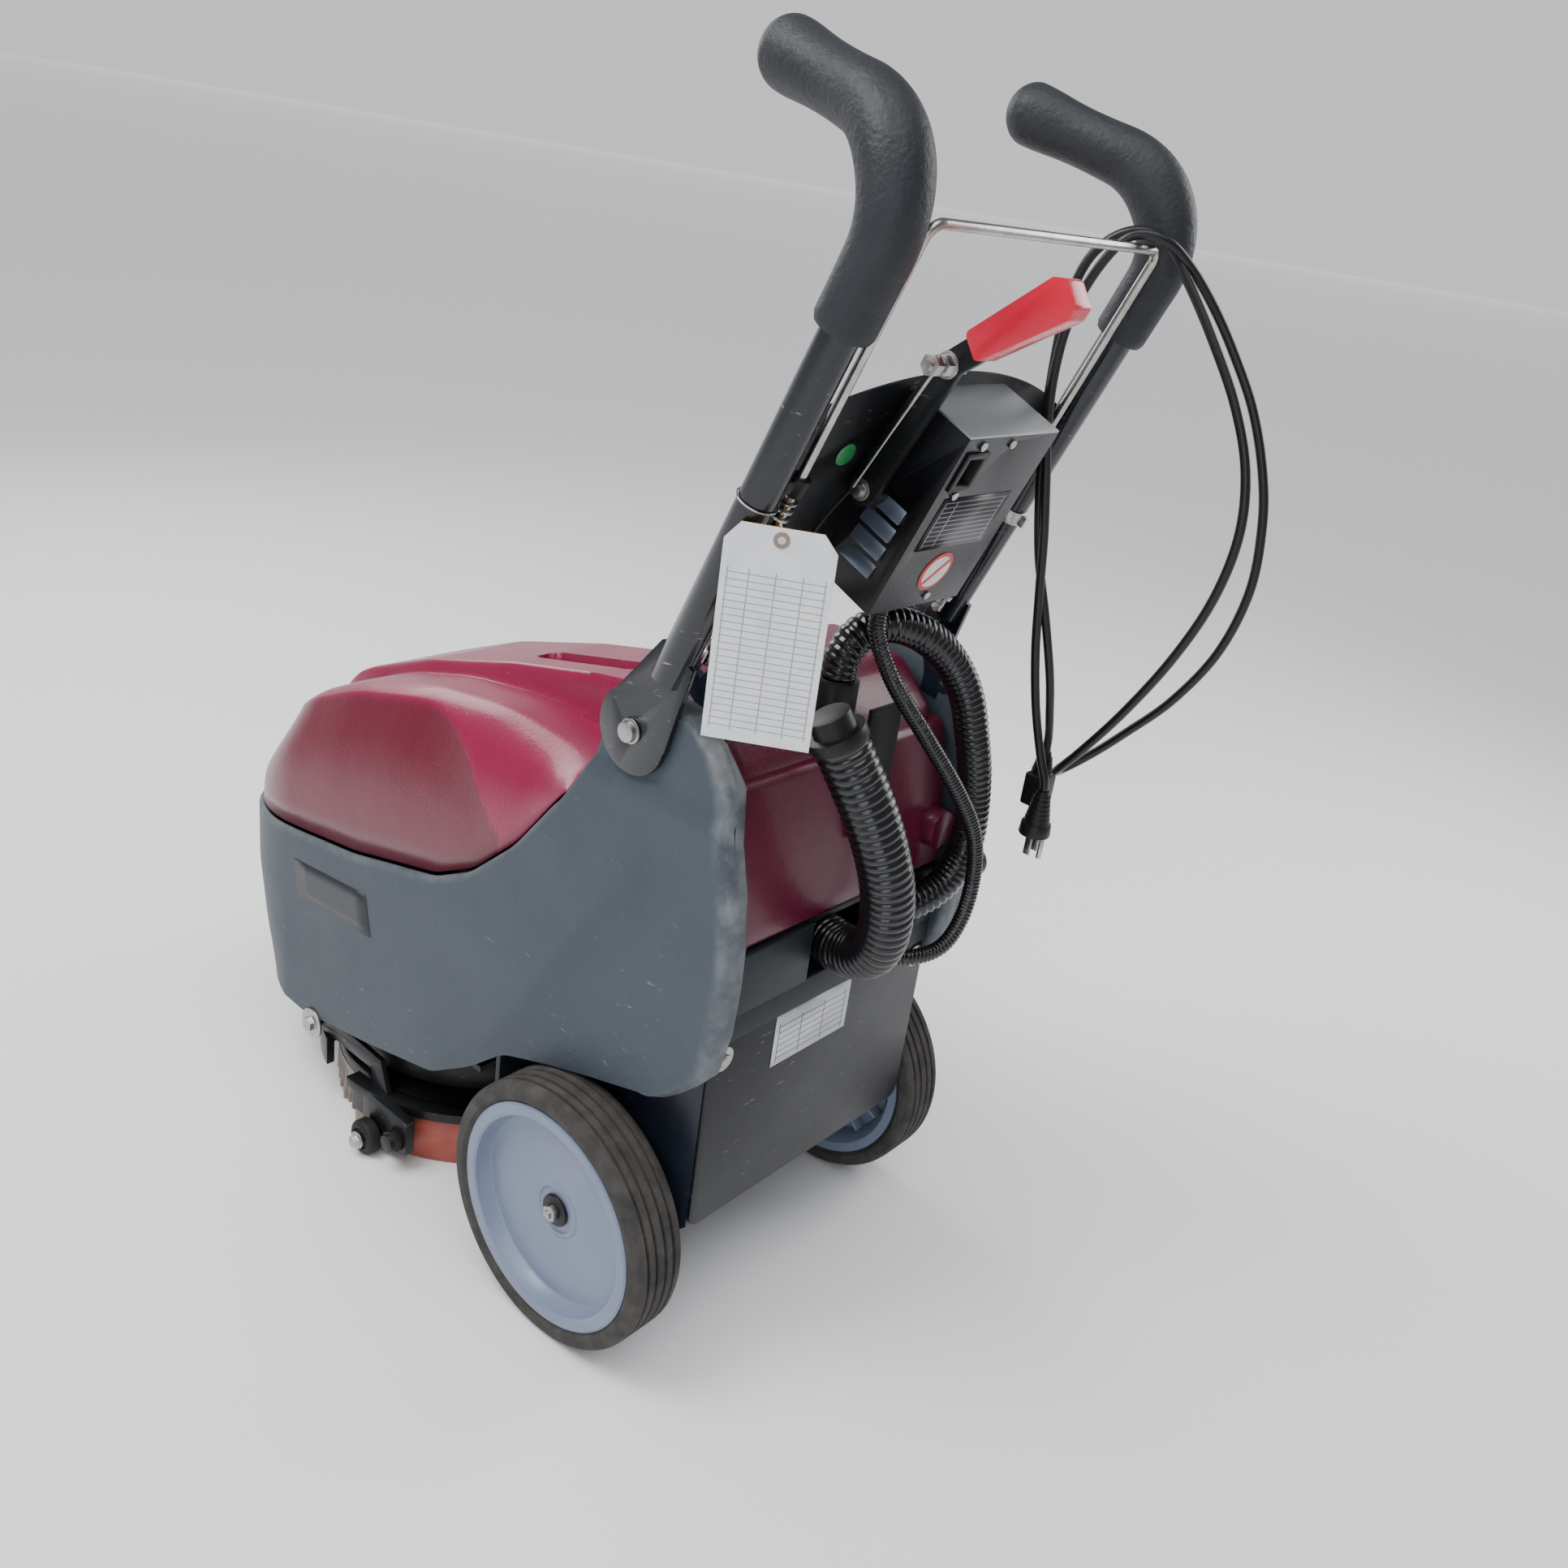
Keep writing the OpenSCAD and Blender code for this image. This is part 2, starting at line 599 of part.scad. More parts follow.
module bent_bar(d, from, ends, tip = []) translate([tube_x, tube_v, 0]) rotate([0, 0, -splay])
    sweep(bar_path(from, ends), d, 24, tip);

module handle_tube() color("#1a1e27") placed() on_handle() {
    difference() {
        union() {
            bent_bar(tube_d, tube_foot, [bar_reach]);
            translate([bracket_x, 0, 0]) rotate([90, 0, 90]) linear_extrude(5) {
                circle(r = plate_r);
                polygon([[-plate_r, 0], [-10.5, 80], [tube_v - tube_r + 2, 80], [tube_v - tube_r + 2, tube_foot + 3],
                    [tube_v + tube_r - 2, tube_foot + 3], [tube_v + tube_r - 2, 80],
                    [tube_v + tube_r + 3.5, 80], [plate_r, 8], [0, -10]]);
            }
        }
        xrod(bracket_x - e, bracket_x + 6, pivot_bolt_r + run, [0, 0]);
    }
}

module grip() color("#34373c") placed() on_handle() translate([tube_x, tube_v, 0]) rotate([0, 0, -splay])
    sleeve(bar_path(grip_start, [bar_reach, bar_reach + 10, bar_reach + 15, bar_reach + 18]),
        grip_d, tube_d + 0.04, 24, [1, 0.85, 0.5]);

module left_tube() handle_tube();
module right_tube() mirror([1, 0, 0]) handle_tube();
module left_grip() grip();
module right_grip() mirror([1, 0, 0]) grip();

module pivot_bolts() color("silver") placed() both_sides() {
    xrod(150, bracket_x + 5.1, pivot_bolt_r, [pivot_back, pivot_h]);
    xrod(bracket_x + 5.1, bracket_x + 7, 10, [pivot_back, pivot_h]);
    xrod(bracket_x + 7, bracket_x + 11.5, 8, [pivot_back, pivot_h]);
}

sector_tip = 66;
sector_root = 58;
sector_x = bay_half - 7;

// square-toothed sector beside each horn, centred on the pivot
module ratchet_sectors() color("#202226") placed() both_sides()
    translate([sector_x, pivot_back, pivot_h]) rotate([90, 0, 90]) linear_extrude(5.9) {
        difference() {
            circle(r = sector_root);
            circle(r = 40);
            rotate(-16) translate([-100, -100]) square([200, 100]);
            rotate(92) translate([-100, 0]) square([200, 100]);
        }
        for (a = [-4 : 14 : 80]) rotate(a) translate([sector_root - 2, -3.5])
            square([sector_tip - sector_root + 2, 7]);
    }

dash_half = 157;
dash_low = 150;
dash_arch = 388;                         // radius of the arched top edge
dash_top = 305;
switch_x = 90;
switch_w = 240;
switch_r = 9;

module dash_panel() color("#1c1e22") placed() on_handle() difference() {
    union() {
        rotate([90, 0, 0]) translate([0, 0, -1]) linear_extrude(2) intersection() {
            polygon([[-dash_half, dash_low + 12], [12 - dash_half, dash_low], [dash_half - 12, dash_low],
                [dash_half, dash_low + 12], [dash_half, 262], [130, 330], [-130, 330], [-dash_half, 262]]);
            translate([0, dash_top - dash_arch]) circle(r = dash_arch, $fn = 256);
        }
        for (x = [-switch_x, switch_x]) translate([x, -5, switch_w]) rotate([-90, 0, 0])
            cylinder(r = switch_r + 5, h = 4.5);
    }
    for (x = [-switch_x, switch_x]) translate([x, -6, switch_w]) rotate([-90, 0, 0])
        cylinder(r = switch_r + 0.4, h = 10);
    // room for the tag's wire ring
    box([tube_x - 17, -3, ring_w - 4], [tube_x, 3, ring_w + 4]);
}

module push_button(x) on_handle() translate([x, -8, switch_w]) rotate([-90, 0, 0]) {
    cylinder(r = switch_r, h = 9);
}

module brush_switch() color("#2f8f4e") placed() push_button(switch_x);
module vacuum_switch() color("#2f6fb0") placed() push_button(-switch_x);

box_v = 1;                               // the box stands on the back of the dash
box_low = 140;
box_top = box_low + box_l;
box_half = box_w / 2;
sheet = 1.6;
louvre_n = 4;

module charger_box() color("#17191c") placed() on_handle() difference() {
    box([-box_half, box_v, box_low], [box_half, box_v + box_t, box_top]);
    box([sheet - box_half, box_v + sheet, box_low + sheet], [box_half - sheet, box_v + box_t - sheet, box_top + e]);
    // louvred slots in the left cheek
    for (i = [0 : louvre_n - 1]) box([box_half - 3, 16, 164 + 16 * i], [box_half + e, 44, 168 + 16 * i]);
    translate([inlet_x, box_v + box_t - 3, inlet_w]) rotate([-90, 0, 0]) linear_extrude(6)
        square([22.4, 28.4], center = true);
    for (p = screw_places) translate([p[0], box_v + box_t - 3, p[1]]) rotate([-90, 0, 0]) cylinder(r = 1.6, h = 6);
    translate([box_half - 3, lever_v, lever_w]) rotate([0, 90, 0]) cylinder(r = lever_pin_r + run, h = 6);
    translate([16, 44, box_low - e]) cylinder(r = conduit_d / 2 - 1, h = 5);
}

module charger_lid() color("#8f949a") placed() on_handle() {
    box([-box_half, box_v, box_top], [box_half, box_v + box_t, box_top + 2]);
    box([sheet - box_half + 0.2, box_v + sheet + 0.2, box_top - 8],
        [box_half - sheet - 0.2, box_v + sheet + 2, box_top]);
}

inlet_x = 36;
inlet_w = 266;
screw_places = [[36, 287], [36, 246], [0, 287], [-8, 149]];

module power_inlet() color("#101010") placed() on_handle() translate([inlet_x, box_v + box_t, inlet_w]) difference() {
    union() {
        box([-11, -22, -14], [11, 0, 14]);
        box([-13, 0, -16], [13, 2, 16]);
    }
    box([-8, -18, -11], [8, 3, 11]);
}

module charger_screws() color("silver") placed() on_handle() for (p = screw_places)
    translate([p[0], box_v + box_t - 4, p[1]]) rotate([-90, 0, 0]) {
        cylinder(r = 1.55, h = 4);
        translate([0, 0, 4]) cylinder(r = 3.4, h = 2);
    }

// ---------- release bar on the handle ----------

bar_r = bar_d / 2;
bar_x = 142;
bar_v = 11;
bar_top = 414;
bar_foot = 70;
bar_bend = 12;
guide_w = 227;
pin_w = 74;
collar_w = 84;

module release_bar() color("#b9b8b2") placed() on_handle() {
    both_sides() {
        translate([bar_x, bar_v, bar_foot]) cylinder(r = bar_r, h = bar_top - bar_bend - bar_foot);
        translate([bar_x - bar_bend, bar_v, bar_top - bar_bend]) rotate([90, 0, 0])
            rotate_extrude(angle = 90) translate([bar_bend, 0]) circle(r = bar_r);
        translate([sector_x + 1, bar_v, pin_w]) rotate([0, 90, 0]) cylinder(r = 4, h = bar_x - sector_x - 1);
        translate([bar_x, bar_v, collar_w]) cylinder(r = 6.5, h = 4);
    }
    translate([bar_bend - bar_x, bar_v, bar_top]) rotate([0, 90, 0])
        cylinder(r = bar_r, h = 2 * (bar_x - bar_bend));
}

module rod_guides() color("#141414") placed() on_handle() both_sides() difference() {
    union() {
        translate([bar_x, bar_v, guide_w - 7]) cylinder(r = bar_r + 4, h = 14);
        box([bar_x, bar_v - 5, guide_w - 5], [tube_x - 6, bar_v + 3, guide_w + 5]);
    }
    translate([bar_x, bar_v, guide_w - 8]) cylinder(r = bar_r + 0.08, h = 16);
    translate([tube_x, tube_v, guide_w - 20]) cylinder(r = tube_r + run, h = 40);
}

// return springs round the bar's legs, between the collars and the guides
module latch_springs() color("#9a9a96") placed() on_handle() both_sides()
    translate([bar_x, bar_v, collar_w + 4.1]) difference() {
        cylinder(r = 6.5, h = guide_w - 7.1 - collar_w - 4.1);
        translate([0, 0, -e]) cylinder(r = bar_r + 0.4, h = 200);
    }

// ---------- lift lever ----------

lever_v = 14;
lever_w = 220;
lever_pin_r = 5;
arm_x = 68;
bolt_place = [26.6, 328.5];
grip_foot = [37.8, 349];
grip_lean = 32.6;

module lever_pivot() color("silver") placed() on_handle() {
    xrod(box_half - 2, 80, lever_pin_r, [lever_v, lever_w]);
    xrod(arm_x + 5.2, arm_x + 7, 8, [lever_v, lever_w]);
}

module lever_arm() color("#1a2230") placed() on_handle() difference() {
    union() {
        xrod(box_half + 1, arm_x + 5, 12, [lever_v, lever_w]);
        translate([arm_x, 0, 0]) rotate([90, 0, 90]) linear_extrude(5) polygon([
            [lever_v - 11, lever_w], [bolt_place[0] - 10, bolt_place[1]], [29, 350], [46, 376],
            [58, 368], [45, 342], [bolt_place[0] + 10, bolt_place[1]], [lever_v + 12, lever_w]
        ]);
    }
    xrod(box_half - e, arm_x + 6, lever_pin_r + run, [lever_v, lever_w]);
    xrod(arm_x - e, arm_x + 6, 4.05, bolt_place);
}

// tapered handle moulded over the end of the arm
module lever_grip() color("#d8223a") placed() on_handle() difference() {
    translate([arm_x - 7, grip_foot[0], grip_foot[1]]) rotate([-grip_lean, 0, 0])
        rotate([90, 0, 90]) linear_extrude(19) offset(r = 4) offset(delta = -4)
            polygon([[-10, 0], [-14, 70], [-9, 78], [9, 78], [14, 70], [10, 0]]);
    translate([arm_x, 0, 0]) rotate([90, 0, 90]) linear_extrude(5) polygon([
        [bolt_place[0] - 10, bolt_place[1]], [29, 350], [46, 376], [58, 368], [45, 342],
        [bolt_place[0] + 10, bolt_place[1]]
    ]);
}

module lever_bolt() color("silver") placed() on_handle() {
    xrod(arm_x - 6, 98, 4, bolt_place);
    translate([arm_x - 6, bolt_place[0], bolt_place[1]]) rotate([0, -90, 0]) cylinder(r = 6.5, h = 5, $fn = 6);
    difference() {
        union() {
            xrod(arm_x + 5, arm_x + 7, 9, bolt_place);
            for (x = [arm_x + 7, arm_x + 19]) translate([x, bolt_place[0], bolt_place[1]])
                rotate([0, 90, 0]) cylinder(r = 7.5, h = 7, $fn = 6);
        }
        xrod(arm_x - 8, 110, 4, bolt_place);
    }
    // upper run of the lift cable, from the bolt to the pivot
    sweep([[84, bolt_place[0], bolt_place[1] - 4.4], [84, 20, 274], [84, lever_v, lever_w + 3]], 2, 8);
}

module lift_cable() color("#8d8d8a") placed()
    on_handle() sweep([[84, lever_v - 1, lever_w - 1], [84, 8, 200], [83, 4.4, 184], [82, 2.1, 172]], 2, 8);

// ---------- inspection tag ----------

tag_hole = [169, 133, 742];
ring_w = 214;
tag_turn = 35.4;                         // the card faces between +X and +Y
tag_w = 74;
tag_l = 150;

module inspection_tag() color("white") placed() translate(tag_hole) rotate([0, 0, tag_turn]) difference() {
    translate([-0.4, 0, 0]) rotate([90, 0, 90]) linear_extrude(0.8) polygon([
        [-tag_w / 2, -tag_l + 8], [-tag_w / 2, -4], [10 - tag_w / 2, 8], [tag_w / 2 - 10, 8],
        [tag_w / 2, -4], [tag_w / 2, -tag_l + 8]
    ]);
    translate([-2, 0, 0]) rotate([0, 90, 0]) cylinder(r = 3, h = 4);
}

// wire ring round the left tube
module tag_ring() color("#dddddd") placed() on_handle() translate([tube_x, tube_v, ring_w])
    rotate_extrude() translate([tube_r + 1.1, 0]) circle(r = 0.7, $fn = 16);

tag_hang = [170, 122.3, 755.2];

// tail of wire from the ring into the card's hole
module tag_wire() color("#dddddd") placed() sweep([tag_hang + [0, 0.7, -0.4], [169.4, 126, 754.6],
    [168, 130, 752], tag_hole + [-1.2, -0.9, 1], tag_hole + [1, 0.7, -0.5]], 1.2, 8);

// ---------- mains lead, hung over the release bar ----------

lead_path = [
    [-150, 190, 506], [-150, 189, 514], [-148, 181, 535], [-142, 170, 577], [-132, 164, 627], [-122, 162, 677],
    [-112, 161, 725], [-104, 157, 770], [-98, 152, 812], [-95, 151, 854], [-96, 155, 893],
    [-100, 168, 929], [-108, 184, 951.5], [-123, 204, 951], [-142, 218, 936], [-162, 232, 913],
    [-172, 250, 886], [-180, 274, 847], [-185, 292, 804], [-188, 302, 763], [-190, 305, 712],
    [-192, 292, 657], [-194, 264, 606], [-194, 232, 566], [-190, 208, 538], [-176, 192, 521],
    [-158, 194, 524], [-148, 216, 552], [-142, 248, 600], [-140, 278, 656], [-140, 298, 710],
    [-140, 305, 762], [-140, 297, 809], [-140, 277, 851], [-139, 249, 891], [-137, 222, 925],
    [-134, 199, 950], [-124, 174, 954], [-114, 152, 935], [-108, 143, 900], [-107, 142, 853],
    [-109, 144, 808], [-114, 148, 758], [-123, 154, 706], [-134, 166, 654], [-147, 174, 605],
    [-162, 174, 566], [-172, 172, 545], [-174, 172, 530]
];

module mains_cord() color("#101010") placed() sweep(lead_path, lead_d, 8);

// round body, two flat blades and a ground pin
module mains_plug() color("#141414") placed() translate(lead_path[0]) {
    translate([0, 0, -30.6]) cylinder(r1 = 13, r2 = 7, h = 30);
    translate([0, 0, -42]) cylinder(r = 14, h = 11.4);
    for (x = [-6.4, 6.4]) box([x - 0.8, -3.2, -60], [x + 0.8, 3.2, -42]);
    translate([0, 9, -62]) cylinder(r = 2.4, h = 20);
}

// three-way appliance socket on the other end
module mains_connector() color("#141414") placed() translate(lead_path[len(lead_path) - 1]) difference() {
    union() {
        translate([0, 0, -20.7]) cylinder(r1 = 10, r2 = 6, h = 20);
        box([-13, -9, -50], [13, 9, -20.7]);
    }
    for (x = [-7, 7]) box([x - 1, -3, -52], [x + 1, 3, -38]);
    box([-1, 0, -52], [1, 6, -38]);
}

base_shell();
recovery_tank();
rear_cover();
rear_cover_bolts();
chassis_frame();
axle();
axle_bolts();
battery();
vacuum_motor();
brush_motor();
water_fitting();
brush_deck();
deck_pivot_bolts();
ratchet_sectors();
pivot_bolts();
suction_hose();
suction_cuff();
drain_hose();
drain_plug();
hose_clip();
cable_conduit();
side_latch();
lid_pin();
tank_lid();
left_tyre();
left_rim();
right_tyre();
right_rim();
brush_disc();
brush_bristles();
squeegee_frame();
inner_blade();
outer_blade();
squeegee_knobs();
roller_bolts();
left_roller();
right_roller();
left_tube();
right_tube();
left_grip();
right_grip();
dash_panel();
charger_box();
charger_lid();
power_inlet();
charger_screws();
rod_guides();
lift_cable();
lever_pivot();
latch_springs();
tag_ring();
tag_wire();
release_bar();
lever_arm();
lever_grip();
lever_bolt();
brush_switch();
vacuum_switch();
inspection_tag();
mains_cord();
mains_plug();
mains_connector();
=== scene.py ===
"""Looks of a compact walk-behind floor scrubber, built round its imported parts.

Lengths in the classes are millimetres. y is counted from the wheel axle and z from the floor, as in
the part's source, and Place carries them to the row frame in metres.
"""

import logging
import math
import random
from dataclasses import dataclass, field
from enum import Enum
from typing import Callable, Iterable, Optional, Sequence, Union

import bmesh
import bpy
import numpy as np
from mathutils import Matrix, Vector

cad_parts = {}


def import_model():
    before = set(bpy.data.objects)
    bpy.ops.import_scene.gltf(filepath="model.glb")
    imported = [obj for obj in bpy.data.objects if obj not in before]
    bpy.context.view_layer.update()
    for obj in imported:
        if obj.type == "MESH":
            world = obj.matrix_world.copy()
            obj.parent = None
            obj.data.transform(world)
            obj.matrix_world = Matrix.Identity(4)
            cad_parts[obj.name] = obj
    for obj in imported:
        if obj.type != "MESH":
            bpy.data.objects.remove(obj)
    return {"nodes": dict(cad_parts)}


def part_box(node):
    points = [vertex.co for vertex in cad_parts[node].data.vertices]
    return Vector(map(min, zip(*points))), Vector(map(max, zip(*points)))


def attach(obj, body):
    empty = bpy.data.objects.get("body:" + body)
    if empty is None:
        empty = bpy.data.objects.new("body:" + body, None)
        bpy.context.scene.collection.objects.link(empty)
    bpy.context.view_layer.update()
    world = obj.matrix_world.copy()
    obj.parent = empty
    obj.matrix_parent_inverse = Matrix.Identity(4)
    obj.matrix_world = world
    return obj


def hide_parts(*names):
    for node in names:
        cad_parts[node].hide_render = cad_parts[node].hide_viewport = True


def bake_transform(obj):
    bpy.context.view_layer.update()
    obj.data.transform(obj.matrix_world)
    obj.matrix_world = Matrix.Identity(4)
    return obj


LOG = logging.getLogger("scrubber")
MM = 0.001
Point = Sequence[float]
Colour = tuple[float, float, float]


# ---------------------------------------------------------------- places


class Place(Enum):
    """Frames that a shape's millimetres are given in."""

    AXLE = "axle"
    HANDLE = "handle"
    TAG = "tag"


@dataclass(frozen=True)
class Layout:
    """Driving sizes shared by the sub-assemblies, in millimetres from the axle."""

    pivot_y: float = 18.0
    pivot_z: float = 567.0
    lean: float = 23.0
    half_width: float = 172.0
    nose_centre: float = -448.0
    tag_hole: tuple[float, float, float] = (169.0, 133.0, 742.0)
    tag_turn: float = 35.4

    def shift(self) -> float:
        """Distance in metres from the axle's line to the row's origin, read from the frame."""
        low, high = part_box("axle")
        return (low.y + high.y) / 2

    def matrix(self, place: Place) -> Matrix:
        """Gives the matrix from a place's millimetres to the row frame.

        Args:
            place: The frame the numbers are written in.

        Returns:
            A matrix that scales to metres as well.
        """
        axle = Matrix.Translation((0, self.shift(), 0)) @ Matrix.Scale(MM, 4)
        if place is Place.AXLE:
            return axle
        if place is Place.HANDLE:
            turn = Matrix.Rotation(math.radians(-self.lean), 4, "X")
            return axle @ Matrix.Translation((0, self.pivot_y, self.pivot_z)) @ turn
        turn = Matrix.Rotation(math.radians(self.tag_turn), 4, "Z")
        return axle @ Matrix.Translation(self.tag_hole) @ turn


LAYOUT = Layout()


# ---------------------------------------------------------------- shader maths


class Wire:
    """A node's output socket, or a number, that Python's operators can reach."""

    def __init__(self, paint: "Paint", socket: bpy.types.NodeSocket) -> None:
        """Keeps the socket and the paint whose nodes it belongs to."""
        self.paint = paint
        self.socket = socket

    def _math(self, operation: str, left: "Wire | float", right: "Wire | float") -> "Wire":
        """Adds one Math node over two values."""
        return self.paint.node("ShaderNodeMath", {"operation": operation}, {0: left, 1: right})

    def __add__(self, other: "Wire | float") -> "Wire":
        """Adds."""
        return self._math("ADD", self, other)

    def __radd__(self, other: float) -> "Wire":
        """Adds to a number."""
        return self._math("ADD", other, self)

    def __sub__(self, other: "Wire | float") -> "Wire":
        """Subtracts."""
        return self._math("SUBTRACT", self, other)

    def __rsub__(self, other: float) -> "Wire":
        """Subtracts from a number."""
        return self._math("SUBTRACT", other, self)

    def __mul__(self, other: "Wire | float") -> "Wire":
        """Multiplies."""
        return self._math("MULTIPLY", self, other)

    def __rmul__(self, other: float) -> "Wire":
        """Multiplies a number."""
        return self._math("MULTIPLY", other, self)

    def __mod__(self, other: float) -> "Wire":
        """Remainder that never goes below nought."""
        return self._math("FLOORED_MODULO", self, other)

    def __gt__(self, other: "Wire | float") -> "Wire":
        """One where this is greater, nought elsewhere."""
        return self._math("GREATER_THAN", self, other)

    def __lt__(self, other: "Wire | float") -> "Wire":
        """One where this is less, nought elsewhere."""
        return self._math("LESS_THAN", self, other)


class Paint:
    """One material while it is being wired."""

    def __init__(self, name: str) -> None:
        """Makes an empty material with a Principled shader."""
        self.material = bpy.data.materials.new(name)
        self.material.use_nodes = True
        self.tree = self.material.node_tree
        self.tree.nodes.clear()
        self.shader = self.tree.nodes.new("ShaderNodeBsdfPrincipled")
        out = self.tree.nodes.new("ShaderNodeOutputMaterial")
        self.tree.links.new(self.shader.outputs[0], out.inputs[0])

    def node(self, kind: str, settings: dict, inputs: dict, output: Union[int, str] = 0) -> Wire:
        """Adds any node.

        Args:
            kind: The node's type.
            settings: Properties, set first; "stops" fills a colour ramp.
            inputs: Values or wires by socket name or number.
            output: The socket that the wire leaves from.

        Returns:
            The chosen output as a wire.
        """
        made = self.tree.nodes.new(kind)
        for key, value in settings.items():
            if key == "stops":
                ramp = made.color_ramp.elements
                while len(ramp) < len(value):
                    ramp.new(1.0)
                for element, (place, shade) in zip(ramp, value):
                    element.position = place
                    element.color = (*shade, 1) if isinstance(shade, tuple) else (shade, shade, shade, 1)
            else:
                setattr(made, key, value)
        for key, value in inputs.items():
            self.feed(made.inputs[key], value)
        return Wire(self, made.outputs[output])

    def feed(self, socket: bpy.types.NodeSocket, value: "Wire | float | tuple") -> None:
        """Links a wire to a socket, or sets the socket's own value."""
        if isinstance(value, Wire):
            self.tree.links.new(value.socket, socket)
        elif isinstance(value, tuple) and len(value) == 3 and socket.type == "RGBA":
            socket.default_value = (*value, 1)
        else:
            socket.default_value = value

    def set(self, name: str, value: "Wire | float | tuple") -> None:
        """Feeds one of the Principled shader's sockets."""
        self.feed(self.shader.inputs[name], value)

    def place(self, stretch: Point = (1, 1, 1), turn: Point = (0, 0, 0)) -> Wire:
        """Object coordinates, stretched and turned."""
        at = self.node("ShaderNodeTexCoord", {}, {}, "Object")
        return self.node("ShaderNodeMapping", {}, {"Vector": at, "Scale": tuple(stretch),
            "Rotation": tuple(turn)})

    def noise(self, scale: float, detail: float = 3.0, stretch: Point = (1, 1, 1),
            turn: Point = (0, 0, 0)) -> Wire:
        """Noise on object coordinates, from 0 to 1."""
        return self.node("ShaderNodeTexNoise", {}, {
            "Vector": self.place(stretch, turn), "Scale": scale, "Detail": detail, "Roughness": 0.6})

    def ramp(self, value: Wire, stops: Sequence[tuple]) -> Wire:
        """A colour ramp over a value."""
        return self.node("ShaderNodeValToRGB", {"stops": stops}, {"Fac": value})

    def mix(self, amount: "Wire | float", first: "Wire | Colour", second: "Wire | Colour") -> Wire:
        """Mixes two colours."""
        return self.node("ShaderNodeMix", {"data_type": "RGBA"}, {"Factor": amount, 6: first, 7: second}, 2)

    def bump(self, height: Wire, depth: float, strength: float = 1.0, over: Optional[Wire] = None) -> Wire:
        """A bump whose full height is depth millimetres."""
        inputs = {"Height": height, "Distance": depth * MM, "Strength": strength}
        if over is not None:
            inputs["Normal"] = over
        return self.node("ShaderNodeBump", {}, inputs)


@dataclass(frozen=True)
class Finish:
    """A surface finish: colour, gloss, grain, scuffs and dust, all procedural, with a masked colour that
    marks worn edges on the base and paints shade on the lid.
    """

    name: str
    colour: Colour
    roughness: float = 0.5
    metallic: float = 0.0
    coat: float = 0.0
    mottle: Optional[Colour] = None
    mottle_scale: float = 14.0
    mottle_share: float = 0.6
    spread: float = 0.12
    grain_scale: float = 900.0
    grain_depth: float = 0.06
    wave_scale: float = 0.0
    wave_depth: float = 0.0
    scuff: Optional[Colour] = None
    scuff_share: float = 0.08
    scuff_scale: float = 60.0
    scuff_stretch: tuple[float, float, float] = (1.0, 1.0, 5.0)
    # Colour that the wear mask mixes in: worn, lighter slate on the base's edges; painted shade on the lid's
    # facet.
    wear: Optional[Colour] = None
    dust: Optional[Colour] = None
    dust_share: float = 0.25
    # True lays the mask on evenly, without patches, as for the lid's painted shade.
    wear_and_shade_even: bool = False
    specular: float = 0.5
    slot: Optional[str] = None

    def colour_of(self, paint: Paint) -> "Wire | Colour":
        """Works out the base colour.

        Args:
            paint: The material being wired.

        Returns:
            A wire, or the plain colour where nothing varies.
        """
        shade: "Wire | Colour" = self.colour
        if self.mottle:
            cloud = paint.ramp(paint.noise(self.mottle_scale, 5.0), [(0.35, 0.0), (0.68, 1.0)])
            shade = paint.mix(cloud * self.mottle_share, shade, self.mottle)
        if self.dust:
            film = paint.ramp(paint.noise(self.mottle_scale * 2.3, 6.0), [(0.42, 0.0), (0.8, 1.0)])
            shade = paint.mix(film * self.dust_share, shade, self.dust)
        if self.scuff:
            shade = paint.mix(self.scuffs(paint), shade, self.scuff)
        # The wear attribute: worn edges on the base, painted shade on the lid's facet under each crease.
        if self.wear:
            wear_and_shade_mask = paint.node("ShaderNodeAttribute", {"attribute_name": "wear"}, {}, "Fac")
            patchy = paint.ramp(paint.noise(38.0, 6.0), [(0.34, 0.15), (0.62, 1.0)])
            shade = paint.mix(wear_and_shade_mask if self.wear_and_shade_even else wear_and_shade_mask * patchy, shade, self.wear)
        return shade

    def scuffs(self, paint: Paint) -> Wire:
        """Short broken scratches and rubs, from 0 to 1."""
        low = 0.78 - self.scuff_share
        fine = paint.ramp(paint.noise(self.scuff_scale, 8.0, self.scuff_stretch, (0.4, 0.2, 0.9)), [
            (low, 0.0), (low + 0.07, 1.0)])
        broad = paint.ramp(paint.noise(self.scuff_scale * 0.12, 3.0), [(0.42, 0.0), (0.6, 1.0)])
        return fine * broad * 0.8

    def build(self) -> bpy.types.Material:
        """Wires the material.

        Returns:
            The finished material.
        """
        paint = Paint(self.name)
        paint.set("Base Color", self.colour_of(paint))
        cloud = paint.noise(self.mottle_scale * 1.7, 5.0)
        paint.set("Roughness", cloud * self.spread + (self.roughness - self.spread / 2))
        paint.set("Metallic", self.metallic)
        paint.set("Specular IOR Level", self.specular)
        if self.coat:
            paint.set("Coat Weight", self.coat)
            paint.set("Coat Roughness", 0.12)
        normal = paint.bump(paint.noise(self.grain_scale, 2.0), self.grain_depth)
        if self.wave_depth:
            normal = paint.bump(paint.noise(self.wave_scale, 2.0), self.wave_depth, over=normal)
        paint.set("Normal", normal)
        self.extra(paint)
        return paint.material

    def extra(self, paint: Paint) -> None:
        """Adds what a special finish needs; a plain one needs nothing."""


@dataclass(frozen=True)
class Brushed(Finish):
    """Sheet metal with brush lines along one axis."""

    lines: tuple[float, float, float] = (60.0, 1.0, 1.0)

    def extra(self, paint: Paint) -> None:
        """Draws the brush lines into the bump and the gloss."""
        lines = paint.noise(45.0, 4.0, self.lines)
        paint.set("Normal", paint.bump(lines, 0.08))
        paint.set("Roughness", lines * 0.25 + (self.roughness - 0.1))


